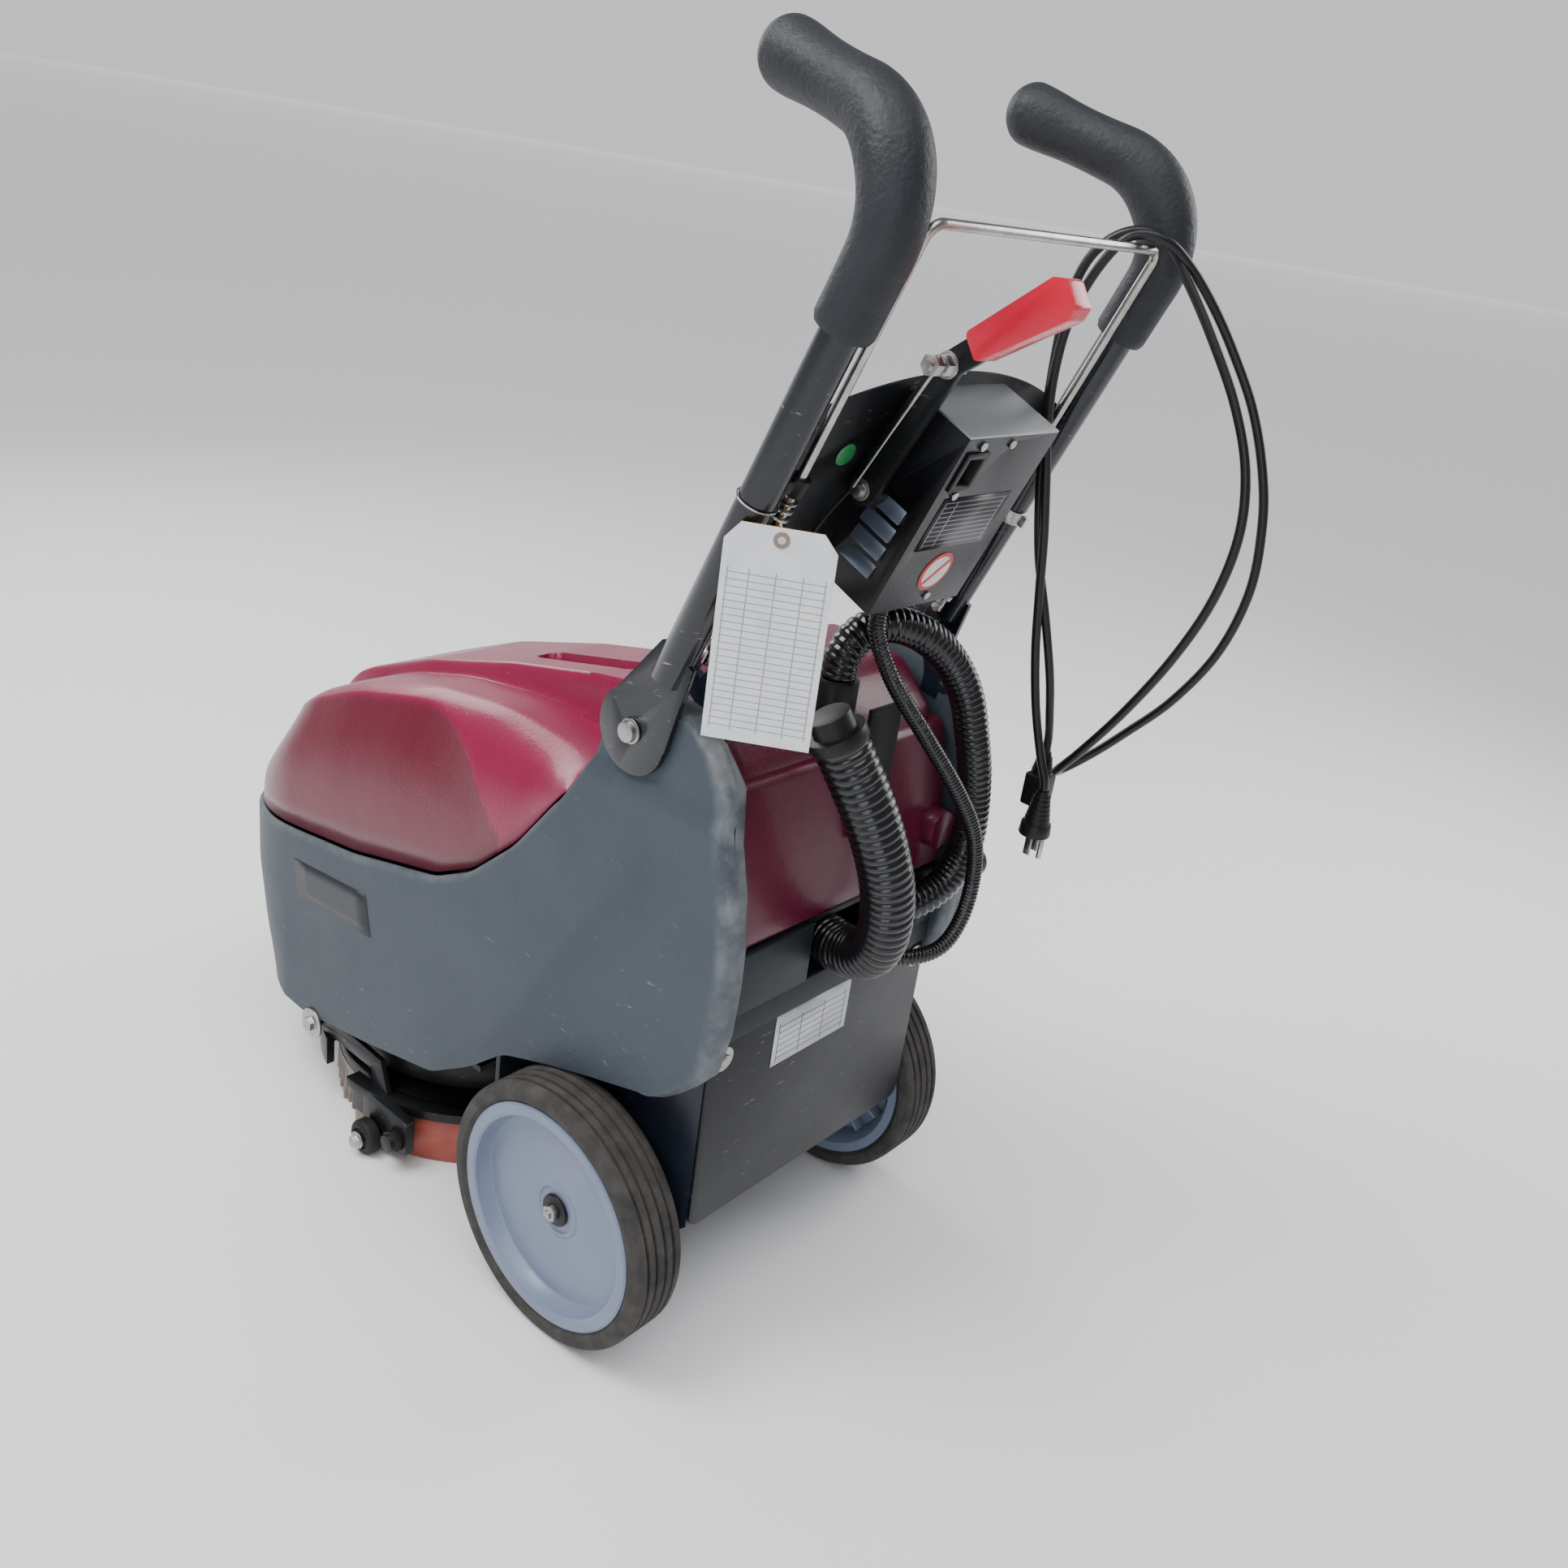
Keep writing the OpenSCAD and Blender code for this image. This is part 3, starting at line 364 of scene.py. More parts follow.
@dataclass(frozen=True)
class Ruled(Finish):
    """A printed card with ruled columns and rows and no words, drawn on the piece's own map."""

    columns: tuple[float, ...] = ()
    rows: float = 25.0
    top: float = 0.86
    ink: Colour = (0.2, 0.2, 0.22)
    band: Optional[Colour] = None

    def extra(self, paint: Paint) -> None:
        """Rules the lines and dirties the card."""
        uv = paint.node("ShaderNodeTexCoord", {}, {}, "UV")
        parts = {"Vector": uv}
        across = paint.node("ShaderNodeSeparateXYZ", {}, parts, "X")
        up = paint.node("ShaderNodeSeparateXYZ", {}, parts, "Y")
        field = (up < self.top) * (up > 0.05) * (across > 0.05) * (across < 0.95)
        line = ((up * self.rows) % 1.0) < 0.15
        for place in self.columns:
            line = line + (across > place) * (across < place + 0.012)
        drawn = paint.node("ShaderNodeMath", {"operation": "MINIMUM"}, {0: line * field, 1: 1.0})
        grime = paint.ramp(paint.noise(60.0, 6.0), [(0.4, 0.0), (0.75, 0.5)])
        shade = paint.mix(grime, self.colour, self.mottle or self.colour)
        if self.band:
            head = (up > self.top) * (up < 0.985) * (across > 0.04) * (across < 0.96)
            shade = paint.mix(head, shade, self.band)
        paint.set("Base Color", paint.mix(drawn * 0.85, shade, self.ink))


class Palette:
    """Every finish on the machine, each built once."""

    SLATE = Finish("slate_polyethylene", (0.040, 0.052, 0.066), 0.50, mottle=(0.056, 0.069, 0.084),
        mottle_scale=9,
                   grain_scale=330, grain_depth=0.35, scuff=(0.24, 0.26, 0.28), scuff_share=0.13,
                   scuff_scale=46,
                   wear=(0.22, 0.235, 0.25), specular=0.35, slot="base_plastic")
    CHARCOAL = Finish("charcoal_polyethylene", (0.012, 0.015, 0.019), 0.5, mottle=(0.022, 0.026, 0.03),
                      grain_scale=330, grain_depth=0.25, scuff=(0.12, 0.12, 0.12), specular=0.3,
                      slot="base_plastic")
    # CRIMSON's masked colour is painted shade: a darker crimson laid evenly on the facet under each lobe's
    # crease.
    CRIMSON = Finish("crimson_polyethylene", (0.205, 0.0035, 0.038), 0.33, coat=0.2,
        mottle=(0.25, 0.006, 0.052),
                     mottle_scale=8, grain_scale=330, grain_depth=0.3, wave_scale=16, wave_depth=1.1,
                     scuff=(0.50, 0.16, 0.24), scuff_share=0.11, wear=(0.115, 0.003, 0.018), wear_and_shade_even=True,
                     specular=0.45, slot="lid_plastic")
    MAROON = Finish("maroon_polyethylene", (0.085, 0.003, 0.020), 0.36, coat=0.15, mottle=(0.12, 0.006, 0.03),
                    mottle_scale=9, grain_scale=330, grain_depth=0.28, wave_scale=16, wave_depth=1.0,
                    scuff=(0.33, 0.10, 0.15), scuff_share=0.11, specular=0.4, slot="tank_plastic")
    SATIN_BLACK = Finish("satin_black_sheet", (0.0065, 0.007, 0.008), 0.36, grain_scale=500,
                         grain_depth=0.06, scuff=(0.22, 0.22, 0.22), scuff_share=0.14, scuff_scale=60,
                         specular=0.3, slot="black_sheet")
    BOX_BLACK = Finish("box_black_paint", (0.0065, 0.007, 0.009), 0.27, grain_scale=500,
                       grain_depth=0.05, scuff=(0.2, 0.2, 0.22), scuff_share=0.11, scuff_scale=60,
                       specular=0.35, slot="black_sheet")
    NAVY_FRAME = Finish("blue_black_paint", (0.008, 0.011, 0.019), 0.32, mottle=(0.013, 0.017, 0.027),
                        scuff=(0.25, 0.24, 0.24), scuff_share=0.14, specular=0.4, slot="frame_paint")
    TUBE_BLACK = Finish("gloss_black_tube", (0.006, 0.0075, 0.011), 0.2, coat=0.3, grain_scale=300,
                        grain_depth=0.03, scuff=(0.3, 0.3, 0.29), scuff_share=0.14, scuff_scale=60,
                        specular=0.4, slot="tube_paint")
    BLACK_PLASTIC = Finish("black_plastic", (0.008, 0.008, 0.009), 0.4, grain_scale=600, grain_depth=0.08,
                           scuff=(0.14, 0.14, 0.14), scuff_share=0.1, specular=0.3, slot="black_plastic")
    ZINC = Finish("dull_zinc", (0.46, 0.46, 0.45), 0.34, metallic=1.0, mottle=(0.27, 0.255, 0.23),
        mottle_scale=60,
                  spread=0.3, grain_scale=900, grain_depth=0.04, slot="zinc")
    PLATED = Finish("worn_plating", (0.50, 0.49, 0.46), 0.26, metallic=1.0, mottle=(0.24, 0.22, 0.19),
                    mottle_scale=45, spread=0.25, grain_scale=1200, grain_depth=0.02, slot="plated_rod")
    BOX_TOP = Brushed("brushed_sheet", (0.40, 0.415, 0.43), 0.36, metallic=0.9, slot="lid_metal")
    TREAD = Finish("worn_tread", (0.030, 0.029, 0.028), 0.8, mottle=(0.062, 0.056, 0.050), mottle_scale=26,
                   mottle_share=0.8, grain_scale=500, grain_depth=0.3, dust=(0.115, 0.105, 0.095),
                   dust_share=0.45,
                   specular=0.25, slot="tyre")
    RIM = Finish("rim_polyamide", (0.165, 0.200, 0.285), 0.36, coat=0.1, mottle=(0.205, 0.240, 0.325),
        mottle_scale=12,
                 grain_scale=420, grain_depth=0.06, scuff=(0.07, 0.07, 0.08), scuff_share=0.1, scuff_scale=40,
                 specular=0.4, slot="rim_plastic")
    ROLLER = Finish("roller_rubber", (0.010, 0.010, 0.011), 0.6, grain_scale=500, grain_depth=0.1,
                    dust=(0.06, 0.055, 0.05), specular=0.3, slot="roller_rubber")
    HOSE = Finish("hose_rubber", (0.006, 0.006, 0.007), 0.22, coat=0.25, grain_scale=500, grain_depth=0.04,
                  specular=0.45, slot="hose_rubber")
    CORD = Finish("cord_jacket", (0.007, 0.007, 0.008), 0.34, specular=0.4, grain_scale=900, grain_depth=0.04,
                  slot="cord_rubber")
    FOAM = Finish("grained_foam", (0.016, 0.018, 0.022), 0.52, mottle=(0.026, 0.028, 0.032), mottle_scale=30,
                  grain_scale=240, grain_depth=0.75, wave_scale=70, wave_depth=0.5, specular=0.35,
                  slot="grip_foam")
    BRISTLE = Finish("nylon_bristle", (0.27, 0.225, 0.21), 0.8, mottle=(0.16, 0.125, 0.11), mottle_scale=60,
                     mottle_share=0.9, grain_scale=700, grain_depth=0.5, slot="bristle")
    GUM = Finish("gum_rubber", (0.24, 0.175, 0.135), 0.6, dust=(0.36, 0.33, 0.30), slot="blade_tan")
    RED_BLADE = Finish("red_rubber", (0.36, 0.062, 0.038), 0.5, mottle=(0.26, 0.05, 0.04), mottle_scale=30,
                       dust=(0.35, 0.22, 0.18), slot="blade_red")
    LEVER_RED = Finish("lever_red_plastic", (0.62, 0.006, 0.035), 0.28, coat=0.3, grain_scale=400,
        grain_depth=0.1,
                       scuff=(0.8, 0.35, 0.38), scuff_share=0.06, slot="lever_red")
    GREEN = Finish("green_button", (0.03, 0.24, 0.08), 0.3, coat=0.3, slot="button_green")
    BLUE = Finish("blue_button", (0.03, 0.11, 0.36), 0.3, coat=0.3, slot="button_blue")
    MOTOR = Finish("cast_motor", (0.22, 0.23, 0.24), 0.5, metallic=0.7, grain_scale=400, grain_depth=0.2,
                   slot="motor_case")
    BATTERY = Finish("battery_case", (0.04, 0.04, 0.046), 0.45, slot="battery_case")
    CARD = Ruled("ruled_card", (0.78, 0.785, 0.79), 0.6, mottle=(0.60, 0.60, 0.60), rows=31.0, top=0.80,
                 columns=(0.06, 0.26, 0.50, 0.74, 0.93), ink=(0.24, 0.25, 0.28), slot="card")
    YELLOW_CARD = Finish("yellow_card", (0.80, 0.46, 0.02), 0.6, slot="card")
    PLATE = Ruled("rating_plate", (0.60, 0.61, 0.62), 0.35, metallic=0.2, mottle=(0.45, 0.45, 0.45),
        rows=8.0, top=0.82,
                  columns=(0.05, 0.34, 0.64, 0.93), ink=(0.03, 0.03, 0.035), slot="lid_metal")
    STICKER = Ruled("side_sticker", (0.018, 0.020, 0.025), 0.4, mottle=(0.026, 0.028, 0.034), rows=2.0,
        top=0.6,
                    columns=(), ink=(0.022, 0.024, 0.03), slot="black_sheet")
    BOX_LABEL = Ruled("box_label", (0.010, 0.010, 0.012), 0.35, mottle=(0.02, 0.02, 0.022), rows=11.0,
        top=0.93,
                      columns=(0.05, 0.22, 0.93), ink=(0.36, 0.36, 0.37), slot="black_sheet")
    DIAL_STICKER = Finish("round_sticker", (0.70, 0.71, 0.71), 0.4, mottle=(0.6, 0.6, 0.6), mottle_scale=80,
                          slot="lid_metal")

    LOUVRE = Finish("louvre_steel", (0.20, 0.24, 0.33), 0.3, metallic=0.7, mottle=(0.12, 0.14, 0.2),
        slot="black_sheet")
    RED_PRINT = Finish("red_print", (0.55, 0.02, 0.02), 0.4, slot="lid_metal")
    HUB_DARK = Finish("hub_dark", (0.008, 0.008, 0.010), 0.4, specular=0.3, slot="zinc")

    _built: dict[str, bpy.types.Material] = {}

    @classmethod
    def get(cls, finish: Finish) -> bpy.types.Material:
        """Builds a finish the first time it is used."""
        if finish.name not in cls._built:
            cls._built[finish.name] = finish.build()
        return cls._built[finish.name]


# ---------------------------------------------------------------- shapes


def smoothstep(low: float, high: float, value: float) -> float:
    """Rises smoothly from 0 at low to 1 at high."""
    t = min(1.0, max(0.0, (value - low) / (high - low)))
    return t * t * (3 - 2 * t)


class Profile:
    """A smooth height over a line, through a few points."""

    def __init__(self, points: Sequence[tuple[float, float]], rounding: float = 14.0) -> None:
        """Keeps the points in rising order.

        Args:
            points: Pairs of place and height.
            rounding: Half width over which corners are averaged.
        """
        ordered = sorted(points)
        self.places = [p[0] for p in ordered]
        self.heights = [p[1] for p in ordered]
        self.offsets = np.linspace(-rounding, rounding, 9)

    def at(self, place: float) -> float:
        """The height at a place."""
        return float(np.mean(np.interp(place + self.offsets, self.places, self.heights)))


def spline(points: Sequence[Point], step: float) -> list[Vector]:
    """A smooth line through given points.

    Args:
        points: The route's points.
        step: About how far apart the new points lie.

    Returns:
        Points along a Catmull-Rom curve.
    """
    knots = [Vector(p) for p in points]
    knots = [knots[0] * 2 - knots[1], *knots, knots[-1] * 2 - knots[-2]]
    line = [knots[1].copy()]
    for a, b, c, d in zip(knots, knots[1:], knots[2:], knots[3:]):
        count = max(1, round((c - b).length / step))
        for i in range(1, count + 1):
            t = i / count
            line.append(((b * 2) + (c - a) * t + (a * 2 - b * 5 + c * 4 - d) * t ** 2
                         + (b * 3 - a - c * 3 + d) * t ** 3) / 2)
    return line


def carried_frames(line: Sequence[Vector]) -> list[tuple[Vector, Vector]]:
    """Side and up vectors carried along a line without twist."""
    frames = []
    side = None
    for i, _ in enumerate(line):
        ahead = (line[min(i + 1, len(line) - 1)] - line[max(i - 1, 0)]).normalized()
        if side is None:
            side = Vector((1, 0.1, 0)) if abs(ahead.x) < 0.9 else Vector((0, 0, 1))
        side = (side - ahead * side.dot(ahead)).normalized()
        frames.append((side, ahead.cross(side)))
    return frames


class Form:
    """One piece in the making: a bmesh in millimetres, with the shapes used here."""

    def __init__(self, place: Place = Place.AXLE) -> None:
        """Starts an empty form in a place's millimetres."""
        self.bm = bmesh.new()
        self.bm.loops.layers.uv.new("UVMap")
        self.place = place
        # Mask for the finish's wear colour: worn edges on the base, painted shade on the lid.
        self.wear: Optional[Callable[[Vector], float]] = None

    def _bevel(self, faces: Iterable[bmesh.types.BMFace], width: float, angle: float = 30.0,
            segments: int = 2) -> None:
        """Rounds the sharp edges of some faces."""
        if width <= 0:
            return
        edges = {e for f in faces if f.is_valid for e in f.edges
                 if len(e.link_faces) == 2 and e.calc_face_angle(0) > math.radians(angle)}
        bmesh.ops.bevel(self.bm, geom=list(edges), offset=width, offset_type="OFFSET", segments=segments,
                        profile=0.5, affect="EDGES", clamp_overlap=True, material=-1)

    def box(self, low: Point, high: Point, bevel: float = 0.0, segments: int = 2,
            turn: Optional[Matrix] = None) -> "Form":
        """Adds a box between two corners, with rounded edges.

        Args:
            low: Lowest corner.
            high: Highest corner.
            bevel: Width of the rounding.
            segments: Steps of the rounding.
            turn: Turn about the box's middle.

        Returns:
            This form.
        """
        a, b = Vector(low), Vector(high)
        matrix = Matrix.Translation((a + b) / 2) @ (turn
            or Matrix.Identity(4)) @ Matrix.Diagonal((*(b - a), 1))
        made = bmesh.ops.create_cube(self.bm, size=1.0, matrix=matrix)
        self._bevel({f for v in made["verts"] for f in v.link_faces}, bevel, 30, segments)
        return self

    def rod(self, start: Point, end: Point, radius: float, radius_end: Optional[float] = None,
            sides: int = 32, bevel: float = 0.0) -> "Form":
        """Adds a round or many-sided rod between two points."""
        a, b = Vector(start), Vector(end)
        turn = (b - a).to_track_quat("Z", "Y").to_matrix().to_4x4()
        made = bmesh.ops.create_cone(
            self.bm, cap_ends=True, segments=sides, radius1=radius,
            radius2=radius if radius_end is None else radius_end, depth=(b - a).length,
            matrix=Matrix.Translation((a + b) / 2) @ turn)
        self._bevel({f for v in made["verts"] for f in v.link_faces}, bevel)
        return self

    def bolt(self, start: Point, end: Point, across: float, washer: float = 0.0,
            thick: float = 1.6) -> "Form":
        """Adds a hexagon head between two points, over a washer at its foot."""
        a, b = Vector(start), Vector(end)
        way = (b - a).normalized()
        if washer:
            self.rod(a, a + way * thick, washer, bevel=0.4)
            a = a + way * thick
        self.rod(a, b, across, across, 6, 0.8)
        self.rod(b - way * 0.2, b + way * 0.5, across * 0.72, across * 0.62, 24)
        return self

    def prism(self, outline: Sequence[tuple[float, float]], low: float, high: float, bevel: float = 0.0,
              segments: int = 2, axis: str = "X") -> "Form":
        """Adds a flat outline carried along an axis.

        Args:
            outline: Corner points in the other two coordinates, in order.
            low: Where it starts on the axis.
            high: Where it ends.
            bevel: Width of the edge rounding.
            segments: Steps of the rounding.
            axis: "X", "Y" or "Z".

        Returns:
            This form.
        """
        order = {"X": lambda a, b: (low, a, b), "Y": lambda a, b: (a, low, b), "Z": lambda a,
            b: (a, b, low)}[axis]
        way = {"X": Vector((1, 0, 0)), "Y": Vector((0, 1, 0)), "Z": Vector((0, 0, 1))}[axis] * (high - low)
        face = self.bm.faces.new([self.bm.verts.new(order(a, b)) for a, b in outline])
        made = bmesh.ops.extrude_face_region(self.bm, geom=[face])["geom"]
        bmesh.ops.translate(self.bm, verts=[g for g in made if isinstance(g, bmesh.types.BMVert)], vec=way)
        faces = {f for g in made if isinstance(g, bmesh.types.BMVert) for f in g.link_faces}
        faces |= {face}
        bmesh.ops.recalc_face_normals(self.bm, faces=list(faces))
        self._bevel(faces, bevel, 30, segments)
        return self

    def lathe(self, outline: Sequence[tuple[float, float]], centre: Point, axis: Point,
            steps: int = 96) -> "Form":
        """Spins an outline of (radius, height) pairs round an axis."""
        way = Vector(axis).normalized()
        side = way.orthogonal().normalized()
        verts = [self.bm.verts.new(Vector(centre) + side * r + way * h) for r, h in outline]
        edges = [self.bm.edges.new(pair) for pair in zip(verts, verts[1:] + verts[:1])]
        made = bmesh.ops.spin(self.bm, geom=verts + edges, cent=centre, axis=way, angle=math.tau, steps=steps,
                              use_merge=True, use_duplicate=False)
        new = {v for g in made["geom_last"] if isinstance(g, bmesh.types.BMVert) for v in [g]} | set(verts)
        reach = self._linked(new)
        bmesh.ops.remove_doubles(self.bm, verts=list(reach), dist=0.002)
        faces = {f for v in reach if v.is_valid for f in v.link_faces}
        bmesh.ops.recalc_face_normals(self.bm, faces=list(faces))
        return self

    @staticmethod
    def _linked(seeds: Iterable[bmesh.types.BMVert]) -> set:
        """Every vertex joined to some vertices."""
        found, open_set = set(), list(seeds)
        while open_set:
            v = open_set.pop()
            if v in found or not v.is_valid:
                continue
            found.add(v)
            open_set.extend(e.other_vert(v) for e in v.link_edges)
        return found

    def sheet(self, across: int, along: int, shape: Callable[[float, float], Point], close_v: bool = False,
              caps: bool = False) -> "Form":
        """Adds a grid warped by a formula.

        Args:
            across: Cells in u.
            along: Cells in v.
            shape: Point for u and v, both from 0 to 1.
            close_v: Whether v comes back to its start.
            caps: Whether the open ends are filled.

        Returns:
            This form.
        """
        made = bmesh.ops.create_grid(self.bm, x_segments=across, y_segments=along, size=0.5, calc_uvs=True)
        verts = made["verts"]
        for v in verts:
            v.co = Vector(shape(min(1.0, max(0.0, v.co.x + 0.5)), min(1.0, max(0.0, v.co.y + 0.5))))
        if close_v:
            bmesh.ops.remove_doubles(self.bm, verts=verts, dist=0.001)
            verts = [v for v in verts if v.is_valid]
        if caps:
            bounds = list({e for v in verts for e in v.link_edges if e.is_boundary})
            bmesh.ops.holes_fill(self.bm, edges=bounds, sides=0)
        if close_v or caps:
            bmesh.ops.recalc_face_normals(self.bm, faces=list({f for v in verts for f in v.link_faces}))
        return self

    def tube(self, line: Sequence[Vector], radius: "float | Callable[[float], float]",
            sides: int = 16) -> "Form":
        """Sweeps a round section along a line, closed at both ends.

        Args:
            line: Points of the centre line.
            radius: One radius, or a radius for each length from the start.
            sides: Sides of the section.

        Returns:
            This form.
        """
        frames = carried_frames(line)
        lengths = [0.0]
        for a, b in zip(line, line[1:]):
            lengths.append(lengths[-1] + (b - a).length)
        size = radius if callable(radius) else (lambda _: radius)
        last = len(line) - 1

        def shape(u: float, v: float) -> Vector:
            """Point on the tube's skin."""
            i = round(u * last)
            side, up = frames[i]
            angle = math.tau * (v % 1.0)
            return line[i] + (side * math.cos(angle) + up * math.sin(angle)) * size(lengths[i])

        return self.sheet(last, sides, shape, close_v=True, caps=True)

    def cad(self, node: str, bevel: float = 0.6, angle: float = 32.0) -> "Form":
        """Adds a merged copy of a CAD node's mesh with its sharp edges softened."""
        back = LAYOUT.matrix(self.place).inverted()
        copy = bmesh.new()
        copy.from_mesh(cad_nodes()[node].data)
        copy.transform(back)
        bmesh.ops.remove_doubles(copy, verts=copy.verts, dist=0.004)
        bmesh.ops.dissolve_limit(copy, angle_limit=math.radians(0.6), verts=copy.verts, edges=copy.edges)
        mesh = bpy.data.meshes.new("copy")
        copy.to_mesh(mesh)
        copy.free()
        before = set(self.bm.faces)
        self.bm.from_mesh(mesh)
        bpy.data.meshes.remove(mesh)
        self._bevel([f for f in self.bm.faces if f not in before], bevel, angle)
        return self

    def make(self, name: str, finish: Finish, body: Optional[str] = None, replaces: Sequence[str] = (),
             angle: float = 38.0) -> bpy.types.Object:
        """Turns the form into a piece of the machine.

        Args:
            name: The piece's name.
            finish: Its finish.
            body: The CAD body it rides on; None leaves it unattached.
            replaces: CAD nodes it stands for.
            angle: Edges sharper than this stay crisp.

        Returns:
            The new object, at the origin.
        """
        loose = [v for v in self.bm.verts if not v.link_faces]
        bmesh.ops.delete(self.bm, geom=loose, context="VERTS")
        mesh = bpy.data.meshes.new(name)
        # Writes that mask per vertex: worn edges on the base, painted shade on the lid's facet.
        if self.wear is not None:
            layer = self.bm.verts.layers.float.new("wear")
            for v in self.bm.verts:
                v[layer] = self.wear(v.co)
        self.bm.transform(LAYOUT.matrix(self.place))
        for f in self.bm.faces:
            f.smooth = True
        for e in self.bm.edges:
            e.smooth = not (len(e.link_faces) == 2 and e.calc_face_angle(0) > math.radians(angle))
        self.bm.to_mesh(mesh)
        self.bm.free()
        mesh.materials.append(Palette.get(finish))
        made = bpy.data.objects.new(name, mesh)
        bpy.context.scene.collection.objects.link(made)
        if body:
            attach(made, body)
        if replaces:
            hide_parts(*replaces)
        LOG.info("piece %s: %d faces", name, len(mesh.polygons))
        return made


_NODES: dict[str, bpy.types.Object] = {}


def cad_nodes() -> dict[str, bpy.types.Object]:
    """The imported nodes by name."""
    return _NODES


def dress(node: str, finish: Finish, body: str, bevel: float = 0.6,
        name: Optional[str] = None) -> bpy.types.Object:
    """Replaces a CAD node by a softened copy in its finish."""
    return Form().cad(node, bevel).make(name or f"{node}_dressed", finish, body, [node])


def thicken(piece: bpy.types.Object, thick: float, offset: float = -1.0) -> None:
    """Gives an open sheet its thickness in millimetres."""
    made = piece.modifiers.new("Thickness", "SOLIDIFY")
    made.thickness = thick * MM
    made.offset = offset
    made.use_even_offset = False


def rounded(low: tuple[float, float], high: tuple[float, float], radius: float,
        steps: int = 6) -> list[tuple[float, float]]:
    """Outline of a rectangle with round corners."""
    line = []
    corners = ((high[0], high[1], 0), (low[0], high[1], 90), (low[0], low[1], 180), (high[0], low[1], 270))
    for x, z, first in corners:
        cx = x - math.copysign(radius, x - (low[0] + high[0]) / 2)
        cz = z - math.copysign(radius, z - (low[1] + high[1]) / 2)
        for i in range(steps + 1):
            angle = math.radians(first + 90 * i / steps)
            line.append((cx + radius * math.cos(angle), cz + radius * math.sin(angle)))
    return line


def coil(centre: Callable[[float], Point], low: float, high: float, turns: float,
        radius: float) -> list[Vector]:
    """Centre line of a coil spring along the third coordinate."""
    count = int(turns * 14)
    line = []
    for i in range(count + 1):
        w = low + (high - low) * i / count
        angle = math.tau * turns * i / count
        x, v = centre(w)
        line.append(Vector((x + radius * math.cos(angle), v + radius * math.sin(angle), w)))
    return line


# ---------------------------------------------------------------- studio


@dataclass(frozen=True)
class Studio:
    """Camera, pale floor and soft lights."""

    eye: Point = (0.8351, 0.6931, 0.9667)
    azimuth: float = 125.46
    elevation: float = 22.43
    roll: float = 9.45
    lens: float = 31.97
    shift: tuple[float, float] = (-0.0473, -0.0223)

    def camera(self) -> None:
        """Places the scene's camera."""
        a, e, r = (math.radians(v) for v in (self.azimuth, self.elevation, self.roll))
        back = Vector((math.sin(a) * math.cos(e), -math.cos(a) * math.cos(e), math.sin(e)))
        x = Vector((0, 0, 1)).cross(back).normalized()
        y = back.cross(x)
        right = x * math.cos(r) + y * math.sin(r)
        above = y * math.cos(r) - x * math.sin(r)
        matrix = Matrix((right, above, back)).transposed().to_4x4()
        matrix.translation = Vector(self.eye) + Vector((0, LAYOUT.shift(), 0))
        lens = bpy.data.cameras.new("camera")
        lens.sensor_width = 36
        lens.lens = self.lens
        lens.shift_x, lens.shift_y = self.shift
        camera = bpy.data.objects.new("camera", lens)
        camera.matrix_world = matrix
        bpy.context.scene.collection.objects.link(camera)
        bpy.context.scene.camera = camera

    def light(self, name: str, at: Point, size: float, power: float, shade: Colour = (1, 1, 1)) -> None:
        """Adds one soft area light aimed at the machine's middle."""
        lamp = bpy.data.lights.new(name, "AREA")
        lamp.size = size
        lamp.energy = power
        lamp.color = shade
        made = bpy.data.objects.new(name, lamp)
        way = Vector((0, 0, 0.45)) - Vector(at)
        made.matrix_world = Matrix.Translation(at) @ way.to_track_quat("-Z", "Y").to_matrix().to_4x4()
        bpy.context.scene.collection.objects.link(made)

    def build(self) -> None:
        """Adds the floor, the lights and the world."""
        mesh = bpy.data.meshes.new("floor")
        bm = bmesh.new()
        bmesh.ops.create_grid(bm, x_segments=1, y_segments=1, size=60.0)
        bm.to_mesh(mesh)
        bm.free()
        paint = Paint("pale_floor")
        paint.set("Base Color", (0.84, 0.84, 0.85))
        paint.set("Roughness", 0.7)
        mesh.materials.append(paint.material)
        floor = bpy.data.objects.new("floor", mesh)
        bpy.context.scene.collection.objects.link(floor)
        glow = Paint("pale_backdrop")
        glow.set("Base Color", (0.0, 0.0, 0.0))
        glow.set("Specular IOR Level", 0.0)
        glow.set("Emission Color", (1.0, 1.0, 1.0))
        glow.set("Emission Strength", 0.80)
        wall = bpy.data.meshes.new("backdrop")
        bm = bmesh.new()
        bmesh.ops.create_grid(bm, x_segments=1, y_segments=1, size=1.0)
        bm.to_mesh(wall)
        bm.free()
        wall.materials.append(glow.material)
        sheet = bpy.data.objects.new("backdrop", wall)
        turn = Matrix.Rotation(math.radians(self.azimuth), 4, "Z")
        sheet.matrix_world = (turn @ Matrix.Translation((0, 58, 9)) @ Matrix.Rotation(math.pi / 2, 4, "X")
                              @ Matrix.Diagonal((90, 14, 1, 1)))
        bpy.context.scene.collection.objects.link(sheet)
        self.light("key", (1.1, -0.5, 2.2), 1.1, 42)
        self.light("fill", (2.3, 1.6, 1.2), 1.4, 16, (0.90, 0.95, 1.0))
        self.light("side", (-1.8, 0.9, 1.5), 1.2, 22)
        self.light("front", (-0.4, -2.2, 1.7), 1.2, 22)
        sky = bpy.data.lights.new("sky", "SUN")
        sky.energy = 1.9
        sky.angle = math.radians(55)
        made = bpy.data.objects.new("sky", sky)
        made.rotation_euler = (math.radians(-14), math.radians(16), 0)
        bpy.context.scene.collection.objects.link(made)
        world = bpy.data.worlds.new("studio")
        world.use_nodes = True
        world.node_tree.nodes["Background"].inputs[0].default_value = (0.9, 0.93, 1.0, 1)
        world.node_tree.nodes["Background"].inputs[1].default_value = 0.30
        bpy.context.scene.world = world


# ---------------------------------------------------------------- cords and hoses


